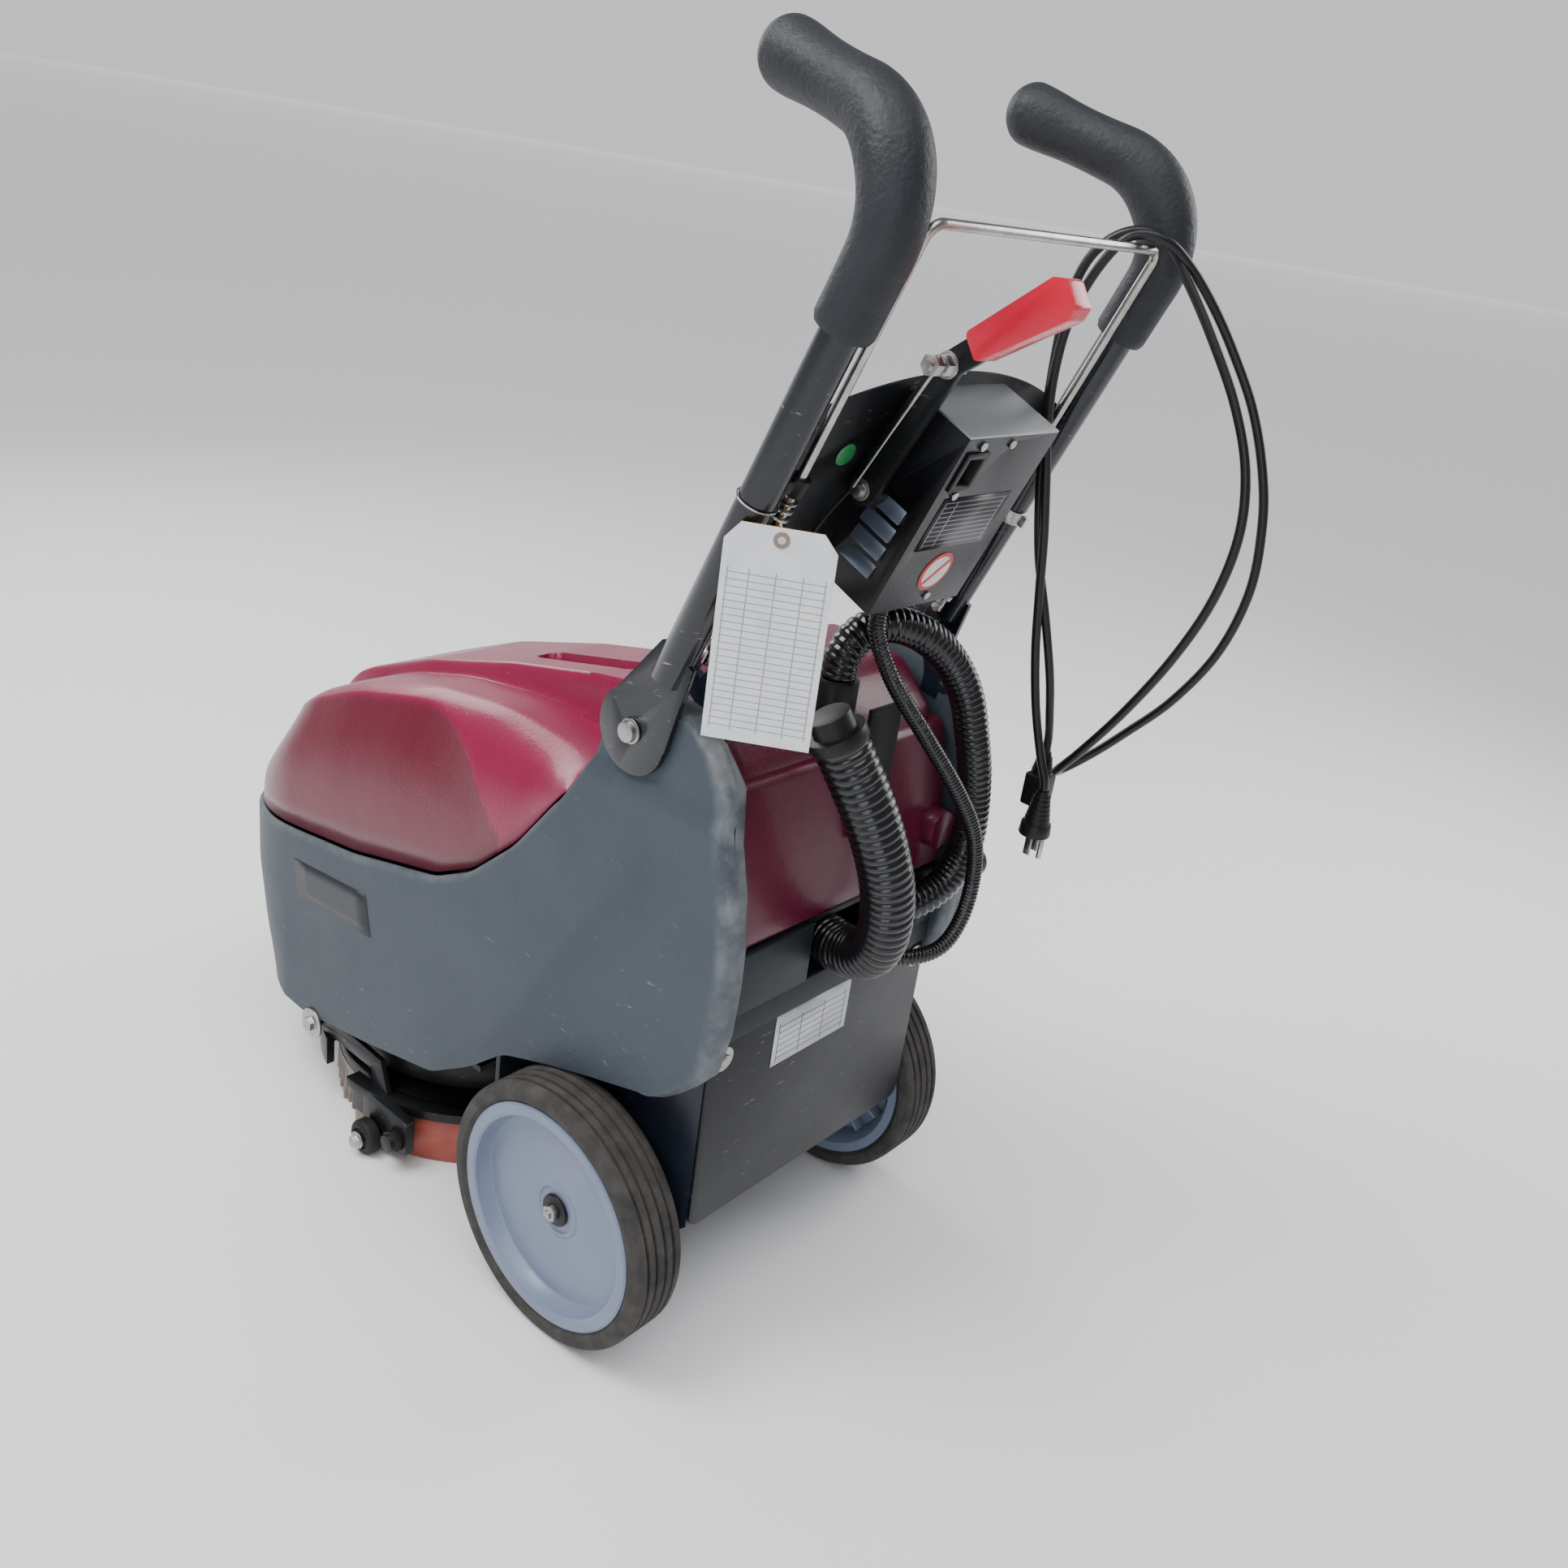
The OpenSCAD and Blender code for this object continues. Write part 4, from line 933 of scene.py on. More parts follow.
@dataclass(frozen=True)
class MainsLead:
    """The lead hung over the handle in a long loop, with its plug and its appliance connector."""

    diameter: float = 7.5
    route: tuple[Point, ...] = (
        (-150, 190, 506), (-150, 189, 514), (-148, 181, 535), (-142, 170, 577), (-132, 164, 627),
        (-122, 162, 677),
        (-112, 161, 725), (-104, 157, 770), (-98, 152, 812), (-95, 151, 854), (-96, 155, 893),
        (-100, 168, 929), (-108, 184, 951.5), (-123, 204, 951), (-142, 218, 936), (-162, 232, 913),
        (-172, 250, 886), (-180, 274, 847), (-185, 292, 804), (-188, 302, 763), (-190, 305, 712),
        (-192, 292, 657), (-194, 264, 606), (-194, 232, 566), (-190, 208, 538), (-176, 192, 521),
        (-158, 194, 524), (-148, 216, 552), (-142, 248, 600), (-140, 278, 656), (-140, 298, 710),
        (-140, 305, 762), (-140, 297, 809), (-140, 277, 851), (-139, 249, 891), (-137, 222, 925),
        (-134, 199, 950), (-124, 174, 954), (-114, 152, 935), (-108, 143, 900), (-107, 142, 853),
        (-109, 144, 808), (-114, 148, 758), (-123, 154, 706), (-134, 166, 654), (-147, 174, 605),
        (-162, 174, 566), (-172, 172, 545), (-174, 172, 530))

    def build(self) -> None:
        line = spline(self.route, 4.0)
        to_row = LAYOUT.matrix(Place.AXLE)
        path = [to_row @ p for p in line]
        length = sum((b - a).length for a, b in zip(path, path[1:]))
        cord = Form().tube(line, self.diameter / 2, 12).make("mains_lead", Palette.CORD, "lead",
            ["mains_cord"])
        plug = self.plug(Vector(self.route[0]))
        connector = self.connector(Vector(self.route[-1]))
        LOG.info("mains lead is %.3f m long", length)

    @staticmethod
    def plug(top: Vector) -> bpy.types.Object:
        """Moulded plug with a stepped strain relief, under the route's first point."""
        def at(x: float, y: float, z: float) -> Vector:
            """A point counted from the plug's top."""
            return top + Vector((x, y, z))

        form = Form()
        form.rod(at(0, 0, -30.6), at(0, 0, -0.6), 11.5, 5.2, 24)
        for i in range(6):
            form.rod(at(0, 0, -7 - 4 * i), at(0, 0, -4.6 - 4 * i), 7.6 + i * 0.7, 7.2 + i * 0.7, 24, 0.4)
        form.rod(at(0, 0, -42), at(0, 0, -30), 14, 13, 40, 1.6)
        metal = Form()
        for x in (-6.4, 6.4):
            metal.box(at(x - 0.8, -3.2, -60), at(x + 0.8, 3.2, -41), 0.3)
        metal.rod(at(0, 9, -62), at(0, 9, -41), 2.4, 2.4, 16, 0.6)
        metal.make("plug_blades", Palette.PLATED, "lead")
        return form.make("lead_plug", Palette.BLACK_PLASTIC, "lead", ["mains_plug"])

    @staticmethod
    def connector(top: Vector) -> bpy.types.Object:
        """Appliance connector with a ribbed strain relief, under the route's last point."""
        form = Form()
        form.rod(top + Vector((0, 0, -20.7)), top + Vector((0, 0, -0.7)), 9, 4.8, 24)
        for i in range(5):
            form.rod(top + Vector((0, 0, -7 - 3 * i)), top + Vector((0, 0, -5.2 - 3 * i)), 7 + i * 0.6,
                6.6 + i * 0.6, 24)
        form.box(top + Vector((-13, -9, -50)), top + Vector((13, 9, -20)), 2.5, 3)
        return form.make("lead_connector", Palette.BLACK_PLASTIC, "lead", ["mains_connector"])


@dataclass(frozen=True)
class Hoses:
    """The suction hose, the drain hose and the cable conduit behind the tank."""

    pitch: float = 6.0
    rib: float = 1.3
    suction: tuple[Point, ...] = (
        (15, 78, 602), (14, 80, 620), (4, 86, 638), (-20, 96, 645), (-52, 108, 634), (-80, 118, 611),
        (-99, 127, 581), (-109, 133, 548), (-117, 138, 515), (-123, 140, 482), (-125, 141, 450),
        (-123, 138, 422), (-112, 132, 400), (-92, 122, 385), (-72, 108, 378), (-62, 88, 376),
        (-62, 61.2, 376))
    drain: tuple[Point, ...] = (
        (8, 60.8, 376), (8, 84, 376), (10, 106, 376), (16, 130, 379), (24, 154, 390), (31, 170, 410),
        (38, 178, 438), (46, 179, 470), (57, 175, 503), (70, 168, 535), (83, 159, 564), (94, 149, 590))
    conduit: tuple[Point, ...] = (
        (16, 112, 677), (16, 108, 664), (14, 110, 642), (5, 126, 609), (-22, 146, 566), (-56, 163, 517),
        (-80, 172, 475), (-88, 175, 432), (-80, 176, 396), (-62, 172, 373), (-42, 156, 363), (-33, 132, 361),
        (-30, 104, 361), (-30, 60.2, 361))

    def ribbed(self, route: Sequence[Point], radius: float, pitch: float, rib: float, sides: int) -> Form:
        """Sweeps a corrugated skin along a route.

        Args:
            route: Points of the centre line.
            radius: Outer radius.
            pitch: Length of one rib.
            rib: Depth between ribs.
            sides: Sides of the section.

        Returns:
            A form with the hose in it.
        """
        def size(length: float) -> float:
            """Radius at a length from the start."""
            return radius - rib * (0.5 + 0.5 * math.cos(math.tau * length / pitch)) ** 2

        return Form().tube(spline(route, pitch / 6), size, sides)

    def build(self) -> None:
        """Builds the three hoses with their cuffs and plug."""
        self.ribbed(self.suction, 15, self.pitch, self.rib, 28).make(
            "suction_skin", Palette.HOSE, "chassis", ["suction_hose"])
        self.ribbed(self.drain, 21.5, self.pitch * 1.2, self.rib * 1.2, 32).make(
            "drain_skin", Palette.HOSE, "chassis", ["drain_hose"])
        wire = self.ribbed(self.conduit, 7, 3.2, 0.7, 14).make(
            "conduit_skin", Palette.HOSE, None, ["cable_conduit"])
        to_row = LAYOUT.matrix(Place.AXLE)
        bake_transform(wire)
        dress("suction_cuff", Palette.BLACK_PLASTIC, "chassis", 1.2)
        dress("drain_plug", Palette.BLACK_PLASTIC, "chassis", 1.2)
        dress("hose_clip", Palette.BLACK_PLASTIC, "chassis", 0.8)


# ---------------------------------------------------------------- mouldings


@dataclass(frozen=True)
class BaseShell:
    """The slate base: side walls and nose in one skin, with the bay, the floor and the nose band."""

    top: tuple[tuple[float, float], ...] = (
        (-620, 262), (-532, 278), (-430, 292), (-335, 308), (-210, 341), (-160, 368), (-105, 418), (-52, 485),
        (-20, 535), (-14, 575), (2, 595), (24, 601), (66, 592), (91, 576), (109, 550), (124, 480), (131, 414))
    bottom: tuple[tuple[float, float], ...] = (
        (-620, 97), (-583, 97), (-495, 95), (-411, 92), (-300, 115), (-200, 140), (-150, 172), (-105, 211),
        (-42, 234), (0, 248), (89, 276), (105, 292), (121, 307), (128, 350), (131, 414))
    crease: tuple[tuple[float, float], ...] = (
        (-196, 163), (-125, 220), (-82, 280), (-36, 356), (52, 481), (80, 500), (131, 500))
    nose_in: tuple[tuple[float, float], ...] = ((95, 38), (150, 14), (215, 0), (262, 0))
    wall: float = 7.0

    back: tuple[tuple[float, float], ...] = (
        (262, 60), (268, 74), (276, 89), (292, 105), (307, 120), (350, 128), (414, 131), (480, 124),
        (550, 109),
        (576, 92), (588, 74), (594, 60))
    back_from: float = 60.0
    back_round: float = 9.0

    def stations(self) -> list[tuple[Vector, Vector, float]]:
        """Plan points, outward directions and share of the way to the rear edge, from the left
        round the nose."""
        half, centre, start = LAYOUT.half_width, LAYOUT.nose_centre, self.back_from
        rear = [(start, s) for s in [2.0] + list(np.linspace(1.9, 1.0, 7)) + list(np.linspace(0.96, 0.0, 26))]
        ys = rear + [(y, 0.0) for y in list(np.linspace(57, -60, 44)) + list(np.linspace(-64, centre, 66))]
        side = [(Vector((half, y, 0)), Vector((1, 0, 0)), s) for y, s in ys]
        nose = []
        for i in range(1, 72):
            a = math.pi * i / 72
            way = Vector((math.cos(a), -math.sin(a), 0))
            nose.append((Vector((0, centre, 0)) + way * half, way, 0.0))
        other = [(Vector((-p.x, p.y, 0)), Vector((-1, 0, 0)), s) for p, _, s in reversed(side)]
        return side + nose + other

    def rearward(self, at: Vector, share: float, z: float, back: Profile) -> tuple[float, float]:
        """Where a point of the rear edge lies.

        Args:
            at: Plan point of its station.
            share: Up to 1 on the flat side, up to 1.9 round the edge, 2 closes it.
            z: Height.
            back: The rear outline.

        Returns:
            Its y, and how far the rounding pulls it in.
        """
        if share <= 0:
            return at.y, 0.0
        end = back.at(z)
        if share <= 1:
            return at.y + (end - self.back_round - at.y) * share, 0.0
        turn = min(1.0, (share - 1) / 0.9) * math.pi / 2
        return end - self.back_round * (1 - math.sin(turn)), self.back_round * (1 - math.cos(turn))

    def inset(self, at: Vector, way: Vector, z: float, crease: Profile, nose: Profile) -> float:
        """How far the outer skin steps in at a height."""
        step = 5.6 * smoothstep(522, 530, z) * smoothstep(-75, -55, at.y)
        if at.y > -205:
            behind = max(0.0, crease.at(at.y) - z)
            step += 6.0 * (1 - math.exp(-behind / 38)) * smoothstep(-203, -150, at.y)
        return step + max(0.0, -way.y) * nose.at(z)

    def skin(self) -> Form:
        """The wall round the plan: outer face, round rim and inner face."""
        top, bottom = Profile(self.top, 7), Profile(self.bottom, 7)
        crease, nose = Profile(self.crease, 5), Profile(self.nose_in, 12)
        back = Profile([(z, y) for z, y in self.back], 6)
        stations = self.stations()
        outer, rim = 40, 8
        count = outer + rim + 8
        last = len(stations) - 1

        def shape(u: float, v: float) -> Vector:
            """Point of the closed section v at station u."""
            at, way, share = stations[round(u * last)]
            z1, z0 = top.at(at.y), bottom.at(at.y)
            wall = self.wall + 23 * smoothstep(-62, -48, at.y) * abs(way.x)
            soft = min(4.5, wall / 2, (z1 - z0) / 3)
            k = round(v * count) % count

            def place(inward: float, z: float) -> Vector:
                """A point at a depth into the wall and a height."""
                y, pull = self.rearward(at, share, z, back)
                real = Vector((at.x, y, 0))
                inward = min(max(inward, pull), wall - pull) if share < 2 else wall / 2
                return real - way * (inward + self.inset(real, way, z, crease, nose)) + Vector((0, 0, z))

            if k < outer:
                t = k / (outer - 1)
                z = z0 + (z1 - soft - z0) * t
                return place(0, z)
            if k < outer + rim:
                t = (k - outer + 1) / rim
                a = math.pi * t
                inward = wall / 2 * (1 - math.cos(a))
                z = z1 - soft + soft * math.sin(a)
                return place(inward, z)
            t = (k - outer - rim + 1) / 8
            z = (z1 - soft) + (z0 + 1 - z1 + soft) * t
            return place(wall, z)

        form = Form()
        form.sheet(last, count, shape, close_v=True, caps=True)
        heights = top

        def wear(at: Vector) -> float:
            """Rubbed rim, horn edge and crease."""
            edge = 1 - smoothstep(1, 7, abs(heights.at(at.y) - at.z))
            rear = 1 - smoothstep(2, 13, abs(back.at(at.z) - at.y)) if at.y > 55 and at.z < 592 else 0.0
            return min(1.0, 0.35 * edge + 0.6 * rear)

        form.wear = wear
        return form

    def build(self) -> None:
        """Builds the skin, then the plates inside it."""
        self.skin().make("base_skin", Palette.SLATE, "chassis", ["base_shell"])
        inner = Form()
        plan = [(p.x * 0.90, -448 + (p.y + 448) * 0.90) for p, _, _ in self.stations() if p.y < -116]
        inner.prism(plan, 159, 165, axis="Z")
        inner.box((-166, -116, 159), (166, -110, 398), 1)
        inner.box((-143, -110, 396), (143, 104, 402), 1)
        inner.box((-143, 104, 324.3), (143, 112, 350), 2)
        inner.box((-143, 104, 346), (-112, 112, 402), 2)
        inner.box((37, 104, 346), (143, 112, 402), 2)
        inner.box((-118, 54, 350), (43, 60, 398), 1)
        inner.box((-118, 56, 345), (43, 108, 350), 1)
        inner.box((-118, 56, 346), (-112, 108, 398), 1)
        inner.box((37, 56, 346), (43, 108, 398), 1)
        inner.make("bay_walls", Palette.CHARCOAL, "chassis")
        band = [(-619, 236), (-619, 262), (-600, 305), (-560, 355), (-530, 386), (-530, 236)]
        nose = Form().prism(band, -60, 60, 4.0, 4)
        nose.make("nose_band", Palette.SLATE, "chassis")
        self.sticker()

    @staticmethod
    def sticker() -> None:
        """The dark sticker on the left side."""
        corners = [Vector((-430, 262)), Vector((-309, 277)), Vector((-299, 235)), Vector((-424, 222))]

        def shape(u: float, v: float) -> Vector:
            """Point of the sticker, from its lower front corner."""
            low = corners[3].lerp(corners[2], u)
            high = corners[0].lerp(corners[1], u)
            at = low.lerp(high, v)
            return Vector((172.25, at.x, at.y))

        thicken(Form().sheet(6, 4, shape).make("side_sticker", Palette.STICKER, "chassis"), 0.3, 0.0)


@dataclass(frozen=True)
class TankLid:
    """The crimson lid: a raised middle between two lobes, rolled down to its rim."""

    hump: tuple[tuple[float, float], ...] = (
        (-528, 384), (-518, 396), (-504, 411), (-480, 425), (-383, 467), (-260, 505), (-150, 532), (-60, 548))
    lobes: tuple[tuple[float, float], ...] = (
        (-612, 285), (-560, 345), (-480, 410), (-400, 450), (-300, 480), (-200, 497), (-60, 500))
    rim: tuple[tuple[float, float], ...] = (
        (-617, 266), (-532, 281), (-430, 295), (-335, 311), (-210, 344), (-160, 371), (-105, 421), (-50, 492))
    half: float = 167.5
    rear: float = -50.0
    roll: float = 62.0

    @staticmethod
    def slot_distance(at: Vector) -> float:
        """Distance to the finger slot's middle line."""
        y = min(-150.0, max(-255.0, at.y))
        return math.hypot(at.x - 14, at.y - y)

    @property
    def profiles(self) -> tuple[Profile, Profile, Profile]:
        """Smoothed side profiles of the hump, the lobes and the rim."""
        return Profile(self.hump, 7), Profile(self.lobes, 22), Profile(self.rim, 8)

    def build(self) -> None:
        """Builds the lid, its hinge ears and its pin."""
        centre = LAYOUT.nose_centre
        ys = [self.rear - 0.8 * i for i in range(14)] + list(np.linspace(self.rear - 13, centre, 108))
        side = [(Vector((self.half, y, 0)), Vector((0, y, 0))) for y in ys]
        nose = [(Vector((self.half * math.cos(a), centre - self.half * math.sin(a), 0)),
            Vector((0, centre, 0)))
                for a in (math.pi * i / 96 for i in range(1, 96))]
        other = [(Vector((-p.x, p.y, 0)), s) for p, s in reversed(side)]
        stations = side + nose + other
        last = len(stations) - 1
        profiles = self.profiles
        holder = TankLidSurface(self, profiles)

        def shape(u: float, v: float) -> Vector:
            """Point from the outline in to the spine."""
            out, spine = stations[round(u * last)]
            at = out.lerp(spine, v ** 1.35)
            return Vector((at.x, at.y, holder.height(at, (at - out).length)))

        form = Form()
        form.sheet(last, 84, shape)
        bm = form.bm
        bmesh.ops.remove_doubles(bm, verts=bm.verts[:], dist=0.02)
        for plane, normal in (((-61.5, 0, 0), (1, 0, 0)), ((61.5, 0, 0), (1, 0, 0)),
                ((0, -528.5, 0), (0, 1, 0))):
            bmesh.ops.bisect_plane(bm, geom=bm.verts[:] + bm.edges[:] + bm.faces[:], plane_co=plane,
                plane_no=normal,
                                   dist=0.001)
        gone = [f for f in bm.faces if f.calc_center_median().y < -528.5
            and abs(f.calc_center_median().x) < 61.4]
        bmesh.ops.delete(bm, geom=gone, context="FACES")
        up = sum(f.normal.z * f.calc_area() for f in bm.faces)
        if up < 0:
            bmesh.ops.reverse_faces(bm, faces=bm.faces[:])
        half, middle = self.half, LAYOUT.nose_centre

        def shade(at: Vector) -> float:
            """Painted shade of the facet: how far its colour is darkened."""
            edge = half - (abs(at.x) if at.y > middle else math.hypot(at.x, at.y - middle))
            return holder.facet(at, edge)[1]

        # The lid's mask is painted shade, darkening the facet under each lobe's crease.
        form.wear = shade
        thicken(form.make("lid_skin", Palette.CRIMSON, "lid", ["tank_lid"], 50), 4.0)
        ears = Form()
        for x in (-67, 60.4):
            ears.rod((x, -612, 266), (x + 6.6, -612, 266), 4.5, 4.5, 24, 0.5)
            ears.box((x, -612, 267), (x + 6.6, -598, 274), 1)
        ears.make("lid_ears", Palette.CHARCOAL, "lid")
        dress("lid_pin", Palette.ZINC, "chassis", 0.3)


class TankLidSurface:
    """The lid's height with its profiles worked out once."""

    def __init__(self, lid: TankLid, profiles: tuple[Profile, Profile, Profile]) -> None:
        """Keeps the lid and its profiles."""
        self.lid = lid
        self.hump, self.lobes, self.rim = profiles

    def height(self, at: Vector, edge: float) -> float:
        """Height of the lid's outer face over a plan point."""
        lid = self.lid
        x = abs(at.x)
        share = smoothstep(54, 67, x)
        top = self.hump.at(at.y) * (1 - share) + self.lobes.at(at.y) * share
        top -= 4.5 * math.exp(-((x - 63) / 4.5) ** 2)
        top -= 18 * (1 - smoothstep(9.5, 13.5, lid.slot_distance(at)))
        base = self.rim.at(at.y)
        t = min(1.0, max(0.0, edge) / lid.roll)
        rear = min(1.0, max(0.0, lid.rear - at.y) / 16)
        round_side = (1 - (1 - t) ** 2.3) ** (1 / 2.3)
        round_rear = (1 - (1 - rear) ** 2.2) ** (1 / 2.2)
        return base + 0.5 + max(0.0, top - base) * round_side * round_rear - self.facet(at, edge)[0]

    def facet(self, at: Vector, edge: float) -> tuple[float, float]:
        """Dip of the flat facet under the lobe's crease, and the painted shade that darkens its colour."""
        length = smoothstep(-617, -520, at.y) * (1 - smoothstep(-280, -120, at.y))
        wide = 36 * length
        if wide < 0.5 or edge >= wide:
            return 0.0, 0.0
        t = max(0.0, edge) / wide
        return 11 * length * math.sin(math.pi * t) ** 0.8, 1 - smoothstep(0.93, 1.0, t)


@dataclass(frozen=True)
class RecoveryTank:
    """The maroon rear tank in two steps, with its filler boss."""

    low: tuple[tuple[float, float], ...] = ((-44, 402.5), (109, 402.5), (111, 424), (89, 539), (-44, 539))
    high: tuple[tuple[float, float], ...] = ((-43, 530), (86, 530), (79, 552), (44, 586), (-43, 590))

    def build(self) -> None:
        """Builds the tank with soft edges."""
        form = Form().prism(self.low, -138.7, 138.7, 9, 5)
        form.prism(self.high, -126, 126, 12, 5)
        form.rod((-119, 92, 445), (-119, 118, 445), 19, 17.5, 40, 1.5)
        form.make("tank_skin", Palette.MAROON, "chassis", ["recovery_tank"])


# ---------------------------------------------------------------- running gear


@dataclass(frozen=True)
class Wheel:
    """One big wheel: tyre with a grooved tread and a ribbed rim."""

    side: str
    centre: float = 179.0
    axle_height: float = 120.0

    def tread(self) -> list[tuple[float, float]]:
        """Tyre section as pairs of radius and offset."""
        half = [(103, -22), (107, -25.4), (113, -25.6), (117.6, -23.4), (119.5, -20)]
        line = half
        for groove in (-14, -5, 5, 14):
            line = line + [(119.9, groove - 1.6), (117.2, groove - 1.0), (117.2, groove + 1.0),
                (119.9, groove + 1.6)]
        return line + [(r, -h) for r, h in reversed(half)]

    def build(self) -> None:
        """Builds the wheel on its own side."""
        sign = 1 if self.side == "left" else -1
        at, axis = (sign * self.centre, 0, self.axle_height), (sign, 0, 0)
        Form().lathe(self.tread(), at, axis, 120).make(
            f"{self.side}_tyre_skin", Palette.TREAD, f"{self.side}_wheel", [f"{self.side}_tyre"], 30)
        section = [(9.2, -19), (24, -19), (24, -4), (84, -4), (90, -20), (94, -23.5), (102.9, -24),
            (102.9, 23),
                   (101, 24.2), (92.5, 24.2), (90.5, 23), (88, 11), (86, 8.6), (83, 7.8), (26.5, 7.8),
                   (24.5, 9), (22, 9),
                   (20.5, 7.5), (9.2, 7.5)]
        rim = Form().lathe(section, at, axis, 120)
        for i in range(16):
            a = math.tau * i / 16
            turn = Matrix.Rotation(a, 4, "X")
            mid = Vector((sign * (self.centre - 11), 0, self.axle_height)) + turn @ Vector((0, 0, 54))
            rim.box(mid - Vector((7, 1.6, 31)), mid + Vector((7, 1.6, 31)), 0.8, 2, turn)
        rim.make(f"{self.side}_rim_skin", Palette.RIM, f"{self.side}_wheel", [f"{self.side}_rim"], 30)


@dataclass(frozen=True)
class Chassis:
    """Frame cheeks, axle, battery, rear cover and what bolts to them."""

    def build(self) -> None:
        """Builds the chassis pieces."""
        dress("chassis_frame", Palette.NAVY_FRAME, "chassis", 0.9)
        dress("axle", Palette.PLATED, "chassis", 0.6)
        hubs, dark = Form(), Form()
        for s in (-1, 1):
            dark.rod((s * 187.6, 0, 120), (s * 190, 0, 120), 15, 14.4, 40, 0.5)
            hubs.rod((s * 190, 0, 120), (s * 196, 0, 120), 8, 8, 6, 0.8)
            hubs.rod((s * 196, 0, 120), (s * 198, 0, 120), 4, 3.4, 20)
        hubs.make("hub_bolts", Palette.ZINC, "chassis", ["axle_bolts"])
        dark.make("hub_washers", Palette.HUB_DARK, "chassis")
        dress("battery", Palette.BATTERY, "chassis", 3)
        plate = Form().prism(rounded((-141.6, 145), (141.6, 324), 12), 106, 108.5, 0.8, 2, "Y")
        plate.make("rear_cover_skin", Palette.SATIN_BLACK, "chassis", ["rear_cover"])
        bolts = Form()
        for x in (-127, 127):
            bolts.bolt((x, 108.5, 309), (x, 113.5, 309), 6.0, 11)
        bolts.make("cover_bolts", Palette.ZINC, "chassis", ["rear_cover_bolts"])

        def plate_at(u: float, v: float) -> Vector:
            """Point of the rating plate."""
            return Vector((65 - 97 * u, 108.9, 272 + 50 * v))

        thicken(Form().sheet(2, 2, plate_at).make("rating_plate", Palette.PLATE, "chassis"), 0.5, 0.0)
        for node, finish, bevel in (
                ("vacuum_motor", Palette.MOTOR, 2), ("brush_motor", Palette.MOTOR, 2),
                ("water_fitting", Palette.BLACK_PLASTIC, 0.6), ("brush_deck", Palette.BLACK_PLASTIC, 1.2),
                ("deck_pivot_bolts", Palette.ZINC, 0.6), ("ratchet_sectors", Palette.NAVY_FRAME, 0.5),
                ("pivot_bolts", Palette.ZINC, 0.8), ("side_latch", Palette.BLACK_PLASTIC, 1.0)):
            dress(node, finish, "chassis", bevel)


@dataclass(frozen=True)
class Brush:
    """The scrubbing brush: a disc with rings of nylon tufts."""

    rings: tuple[tuple[float, int], ...] = ((98, 56), (110, 62), (122, 70), (134, 76), (146, 84), (154, 92))

    def build(self) -> None:
        """Builds the disc and the tufts."""
        dress("brush_disc", Palette.BLACK_PLASTIC, "brush", 1.0)
        chance = random.Random(7)
        form = Form()
        form.lathe([(95, 18), (155, 18), (156.5, 45), (93, 45)], (0, -328, 0), (0, 0, 1), 96)
        for radius, count in self.rings:
            for i in range(count):
                a = math.tau * (i + 0.3 * chance.random()) / count
                foot = Vector((radius * math.cos(a), -328 + radius * math.sin(a), 44))
                lean = Vector((chance.uniform(-1.5, 1.5), chance.uniform(-1.5, 1.5), 0))
                tip = foot + lean + Vector((0, 0, -43.6 + chance.uniform(0, 1.4)))
                form.rod(foot, tip, 2.6, 3.4, 7)
        form.make("tufts", Palette.BRISTLE, "brush", ["brush_bristles"])


@dataclass(frozen=True)
class Squeegee:
    """The squeegee ring with its two blades, rollers and knobs."""

    def build(self) -> None:
        """Builds the squeegee pieces."""
        dress("squeegee_frame", Palette.SATIN_BLACK, "squeegee", 0.8)
        dress("inner_blade", Palette.GUM, "squeegee", 0.3)
        dress("outer_blade", Palette.RED_BLADE, "squeegee", 0.3)
        dress("squeegee_knobs", Palette.BLACK_PLASTIC, "squeegee", 1.0)
        dress("roller_bolts", Palette.ZINC, "squeegee", 0.6)
        for side in ("left", "right"):
            dress(f"{side}_roller", Palette.ROLLER, f"{side}_caster", 1.5)


# ---------------------------------------------------------------- handle


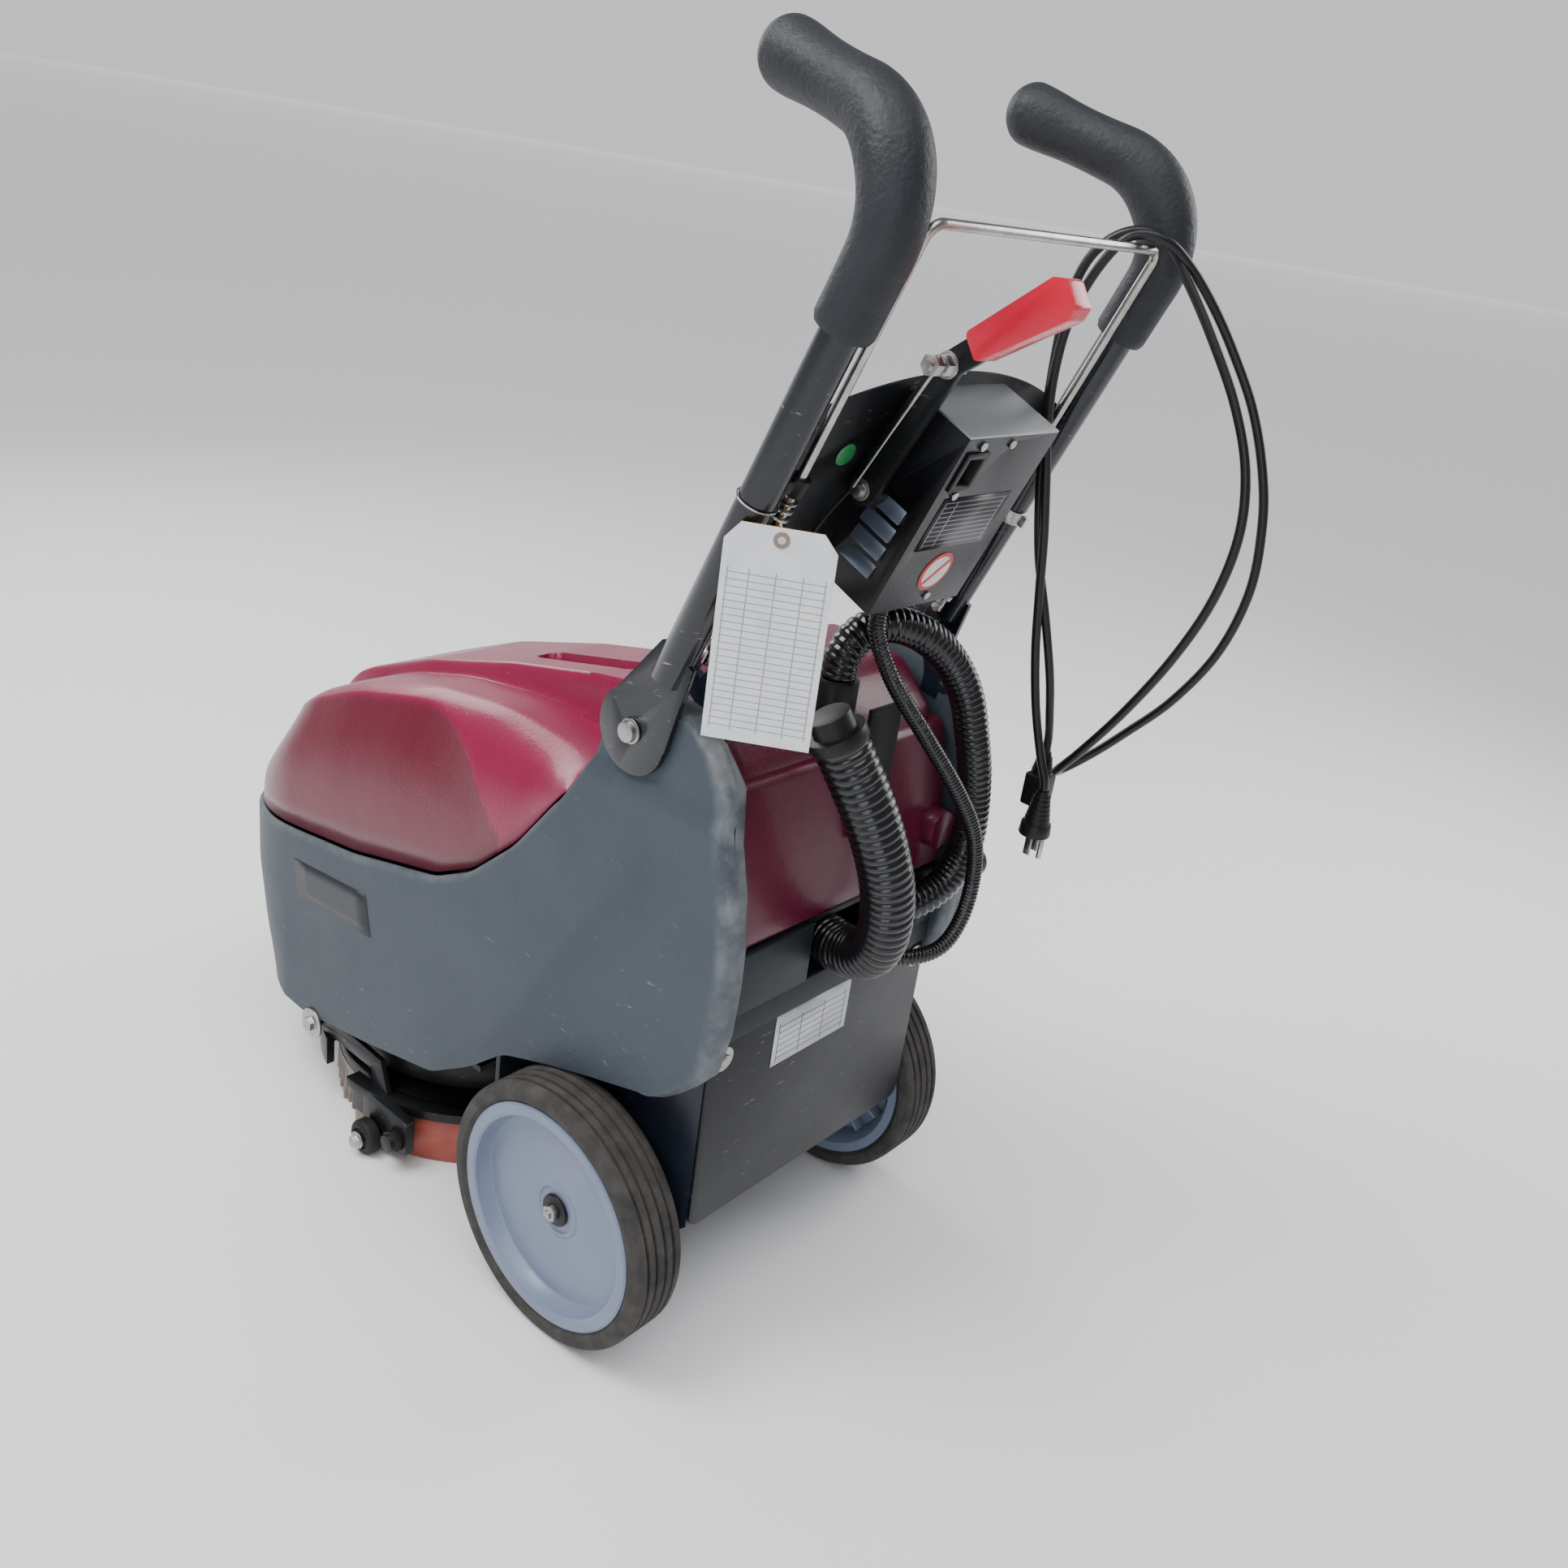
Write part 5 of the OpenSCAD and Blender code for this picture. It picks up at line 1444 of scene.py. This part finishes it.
@dataclass(frozen=True)
class HandleFrame:
    """The two bent tubes with their brackets, grips, dash plate, switches and tag ring."""

    def build(self) -> None:
        """Builds the frame."""
        for side in ("left", "right"):
            dress(f"{side}_tube", Palette.TUBE_BLACK, "handle", 0.5)
            self.grip(side)
        dress("dash_panel", Palette.SATIN_BLACK, "handle", 0.4)
        dress("rod_guides", Palette.BLACK_PLASTIC, "handle", 0.6)
        dress("lift_cable", Palette.CORD, "handle", 0)
        dress("lever_pivot", Palette.ZINC, "handle", 0.5)
        dress("tag_ring", Palette.PLATED, "handle", 0)
        dress("brush_switch", Palette.GREEN, "brush_button", 0.8)
        dress("vacuum_switch", Palette.BLUE, "vacuum_button", 0.8)
        self.clip()

    @staticmethod
    def grip(side: str) -> None:
        """A foam grip, fuller round its bend and at its rounded tip."""
        sign = 1 if side == "left" else -1
        bend, turn = 62.0, math.radians(98)
        start = 400 - (bend - 50) * math.tan(turn / 2)
        line = [Vector((0, 0, 340 + (start - 340) * i / 12)) for i in range(12)]
        line += [Vector((0, bend * (math.cos(a) - 1), start + bend * math.sin(a)))
                 for a in (turn * i / 36 for i in range(37))]
        ahead = Vector((0, -math.sin(turn), math.cos(turn)))
        reach = 92 + 18 - (bend - 50) * math.tan(turn / 2)
        end = line[-1].copy()
        line += [end + ahead * reach * (i / 40) ** 0.8 for i in range(1, 41)]
        splay = Matrix.Rotation(math.radians(-12.6), 4, "Z")
        line = [Vector((sign * (169 + (splay @ p).x), 7 + (splay @ p).y, p.z)) for p in line]
        total = sum((b - a).length for a, b in zip(line, line[1:]))

        def size(length: float) -> float:
            """Radius along the grip."""
            left = total - length
            body = 20.3 + 3.2 * math.exp(-((length - 108) / 42) ** 2) + 2.6 * math.exp(-((left - 22)
                / 26) ** 2)
            cap = math.sqrt(max(0.0, 1 - (1 - min(1.0, left / 20)) ** 2))
            foot = 0.92 + 0.08 * min(1.0, length / 4)
            return max(0.6, body * cap * foot)

        form = Form(Place.HANDLE).tube(line, size, 40)
        form.make(f"{side}_grip_skin", Palette.FOAM, "handle", [f"{side}_grip"])

    @staticmethod
    def clip() -> None:
        """A zinc spring clip on the right tube."""
        form = Form(Place.HANDLE)
        form.rod((-169, 7, 166), (-169, 7, 178), 14.6, 14.6, 40, 0.4)
        form.box((-171.5, 20, 167), (-166.5, 26, 177), 0.8)
        form.make("tube_clip", Palette.ZINC, "handle")


@dataclass(frozen=True)
class ChargerBox:
    """The black box between the tubes with its brushed lid, louvres, label and sticker."""

    def build(self) -> None:
        """Builds the box."""
        dress("charger_box", Palette.BOX_BLACK, "handle", 1.6)
        dress("charger_lid", Palette.BOX_TOP, "handle", 0.5)
        dress("power_inlet", Palette.BLACK_PLASTIC, "handle", 0.8)
        dress("charger_screws", Palette.ZINC, "handle", 0.4)
        hoods = Form(Place.HANDLE)
        for i in range(4):
            w = 163 + 16 * i
            hoods.prism([(55.5, w), (59.2, w), (57.5, w + 8), (55.5, w + 12)], 15, 45, 0.7, 2, "Y")
        hoods.make("louvre_hoods", Palette.LOUVRE, "handle")

        def label(u: float, v: float) -> Vector:
            """Point of the box's label."""
            return Vector((44 - 84 * u, 59.3, 197 + 46 * v))

        thicken(Form(Place.HANDLE).sheet(2, 2, label).make("box_label", Palette.BOX_LABEL, "handle"), 0.4,
            0.0)
        Form(Place.HANDLE).rod((-1, 59, 173), (-1, 59.6, 173), 17.5, 17.5, 48).make(
            "sticker_ring", Palette.RED_PRINT, "handle")
        Form(Place.HANDLE).rod((-1, 59.5, 173), (-1, 59.9, 173), 14.3, 14.3, 48).make(
            "round_sticker", Palette.DIAL_STICKER, "handle")
        bar = Form(Place.HANDLE).box((-15, 59.8, 171.4), (13, 60.2, 174.6), 0, 2,
            Matrix.Rotation(0.8, 4, "Y"))
        bar.make("sticker_bar", Palette.RED_PRINT, "handle")


@dataclass(frozen=True)
class ReleaseBar:
    """The U-shaped release bar with its collars and coil springs."""

    def build(self) -> None:
        """Builds the bar and its springs."""
        dress("release_bar", Palette.PLATED, "bail", 0.3)
        springs = Form(Place.HANDLE)
        for x in (-142, 142):
            line = coil(lambda _, x=x: (x, 11), 89, 219, 20, 5.3)
            springs.tube(line, 1.0, 6)
        coils = springs.make("latch_coils", Palette.ZINC, None, ["latch_springs"])
        at = LAYOUT.matrix(Place.HANDLE)
        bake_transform(coils)


@dataclass(frozen=True)
class LiftLever:
    """The squeegee's lift lever with its red grip."""

    def build(self) -> None:
        """Builds the lever."""
        dress("lever_arm", Palette.SATIN_BLACK, "lever", 0.4)
        dress("lever_grip", Palette.LEVER_RED, "lever", 3.0)
        dress("lever_bolt", Palette.ZINC, "lever", 0.4)


@dataclass(frozen=True)
class InspectionTag:
    """Two ruled cards on a wire through the handle."""

    def card(self, name: str, finish: Finish, offset: float, replaces: Sequence[str]) -> None:
        """Builds one card with cut corners."""
        outline = [(-37, -142), (37, -142), (37, -4), (27, 8), (-27, 8), (-37, -4)]
        form = Form(Place.TAG).prism(outline, offset, offset + 0.7)
        layer = form.bm.loops.layers.uv.active
        for f in form.bm.faces:
            for loop in f.loops:
                loop[layer].uv = ((37 - loop.vert.co.y) / 74, (loop.vert.co.z + 142) / 150)
        form.make(name, finish, "tag", replaces)

    def build(self) -> None:
        """Builds the cards and the wire."""
        self.card("tag_card", Palette.CARD, 0.0, ["inspection_tag"])
        self.card("tag_back", Palette.YELLOW_CARD, -0.9, [])
        eyelet = Form(Place.TAG).lathe([(2.6, 0.6), (5.4, 0.6), (5.4, 1.2), (2.6, 1.2)], (0, 0, 0),
            (1, 0, 0), 40)
        eyelet.make("tag_eyelet", Palette.GUM, "tag")
        dress("tag_wire", Palette.PLATED, "tag", 0)


# ---------------------------------------------------------------- the machine


def main() -> None:
    """Builds the machine, piece by piece."""
    logging.basicConfig(level=logging.INFO, format="%(message)s")
    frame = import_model()
    _NODES.update(frame["nodes"])
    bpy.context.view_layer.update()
    studio = Studio()
    studio.camera()
    MainsLead().build()
    Hoses().build()
    BaseShell().build()
    TankLid().build()
    RecoveryTank().build()
    Chassis().build()
    Wheel("left").build()
    Wheel("right").build()
    Brush().build()
    Squeegee().build()
    HandleFrame().build()
    ChargerBox().build()
    ReleaseBar().build()
    LiftLever().build()
    InspectionTag().build()
    studio.build()


if __name__ == "__main__":
    main()
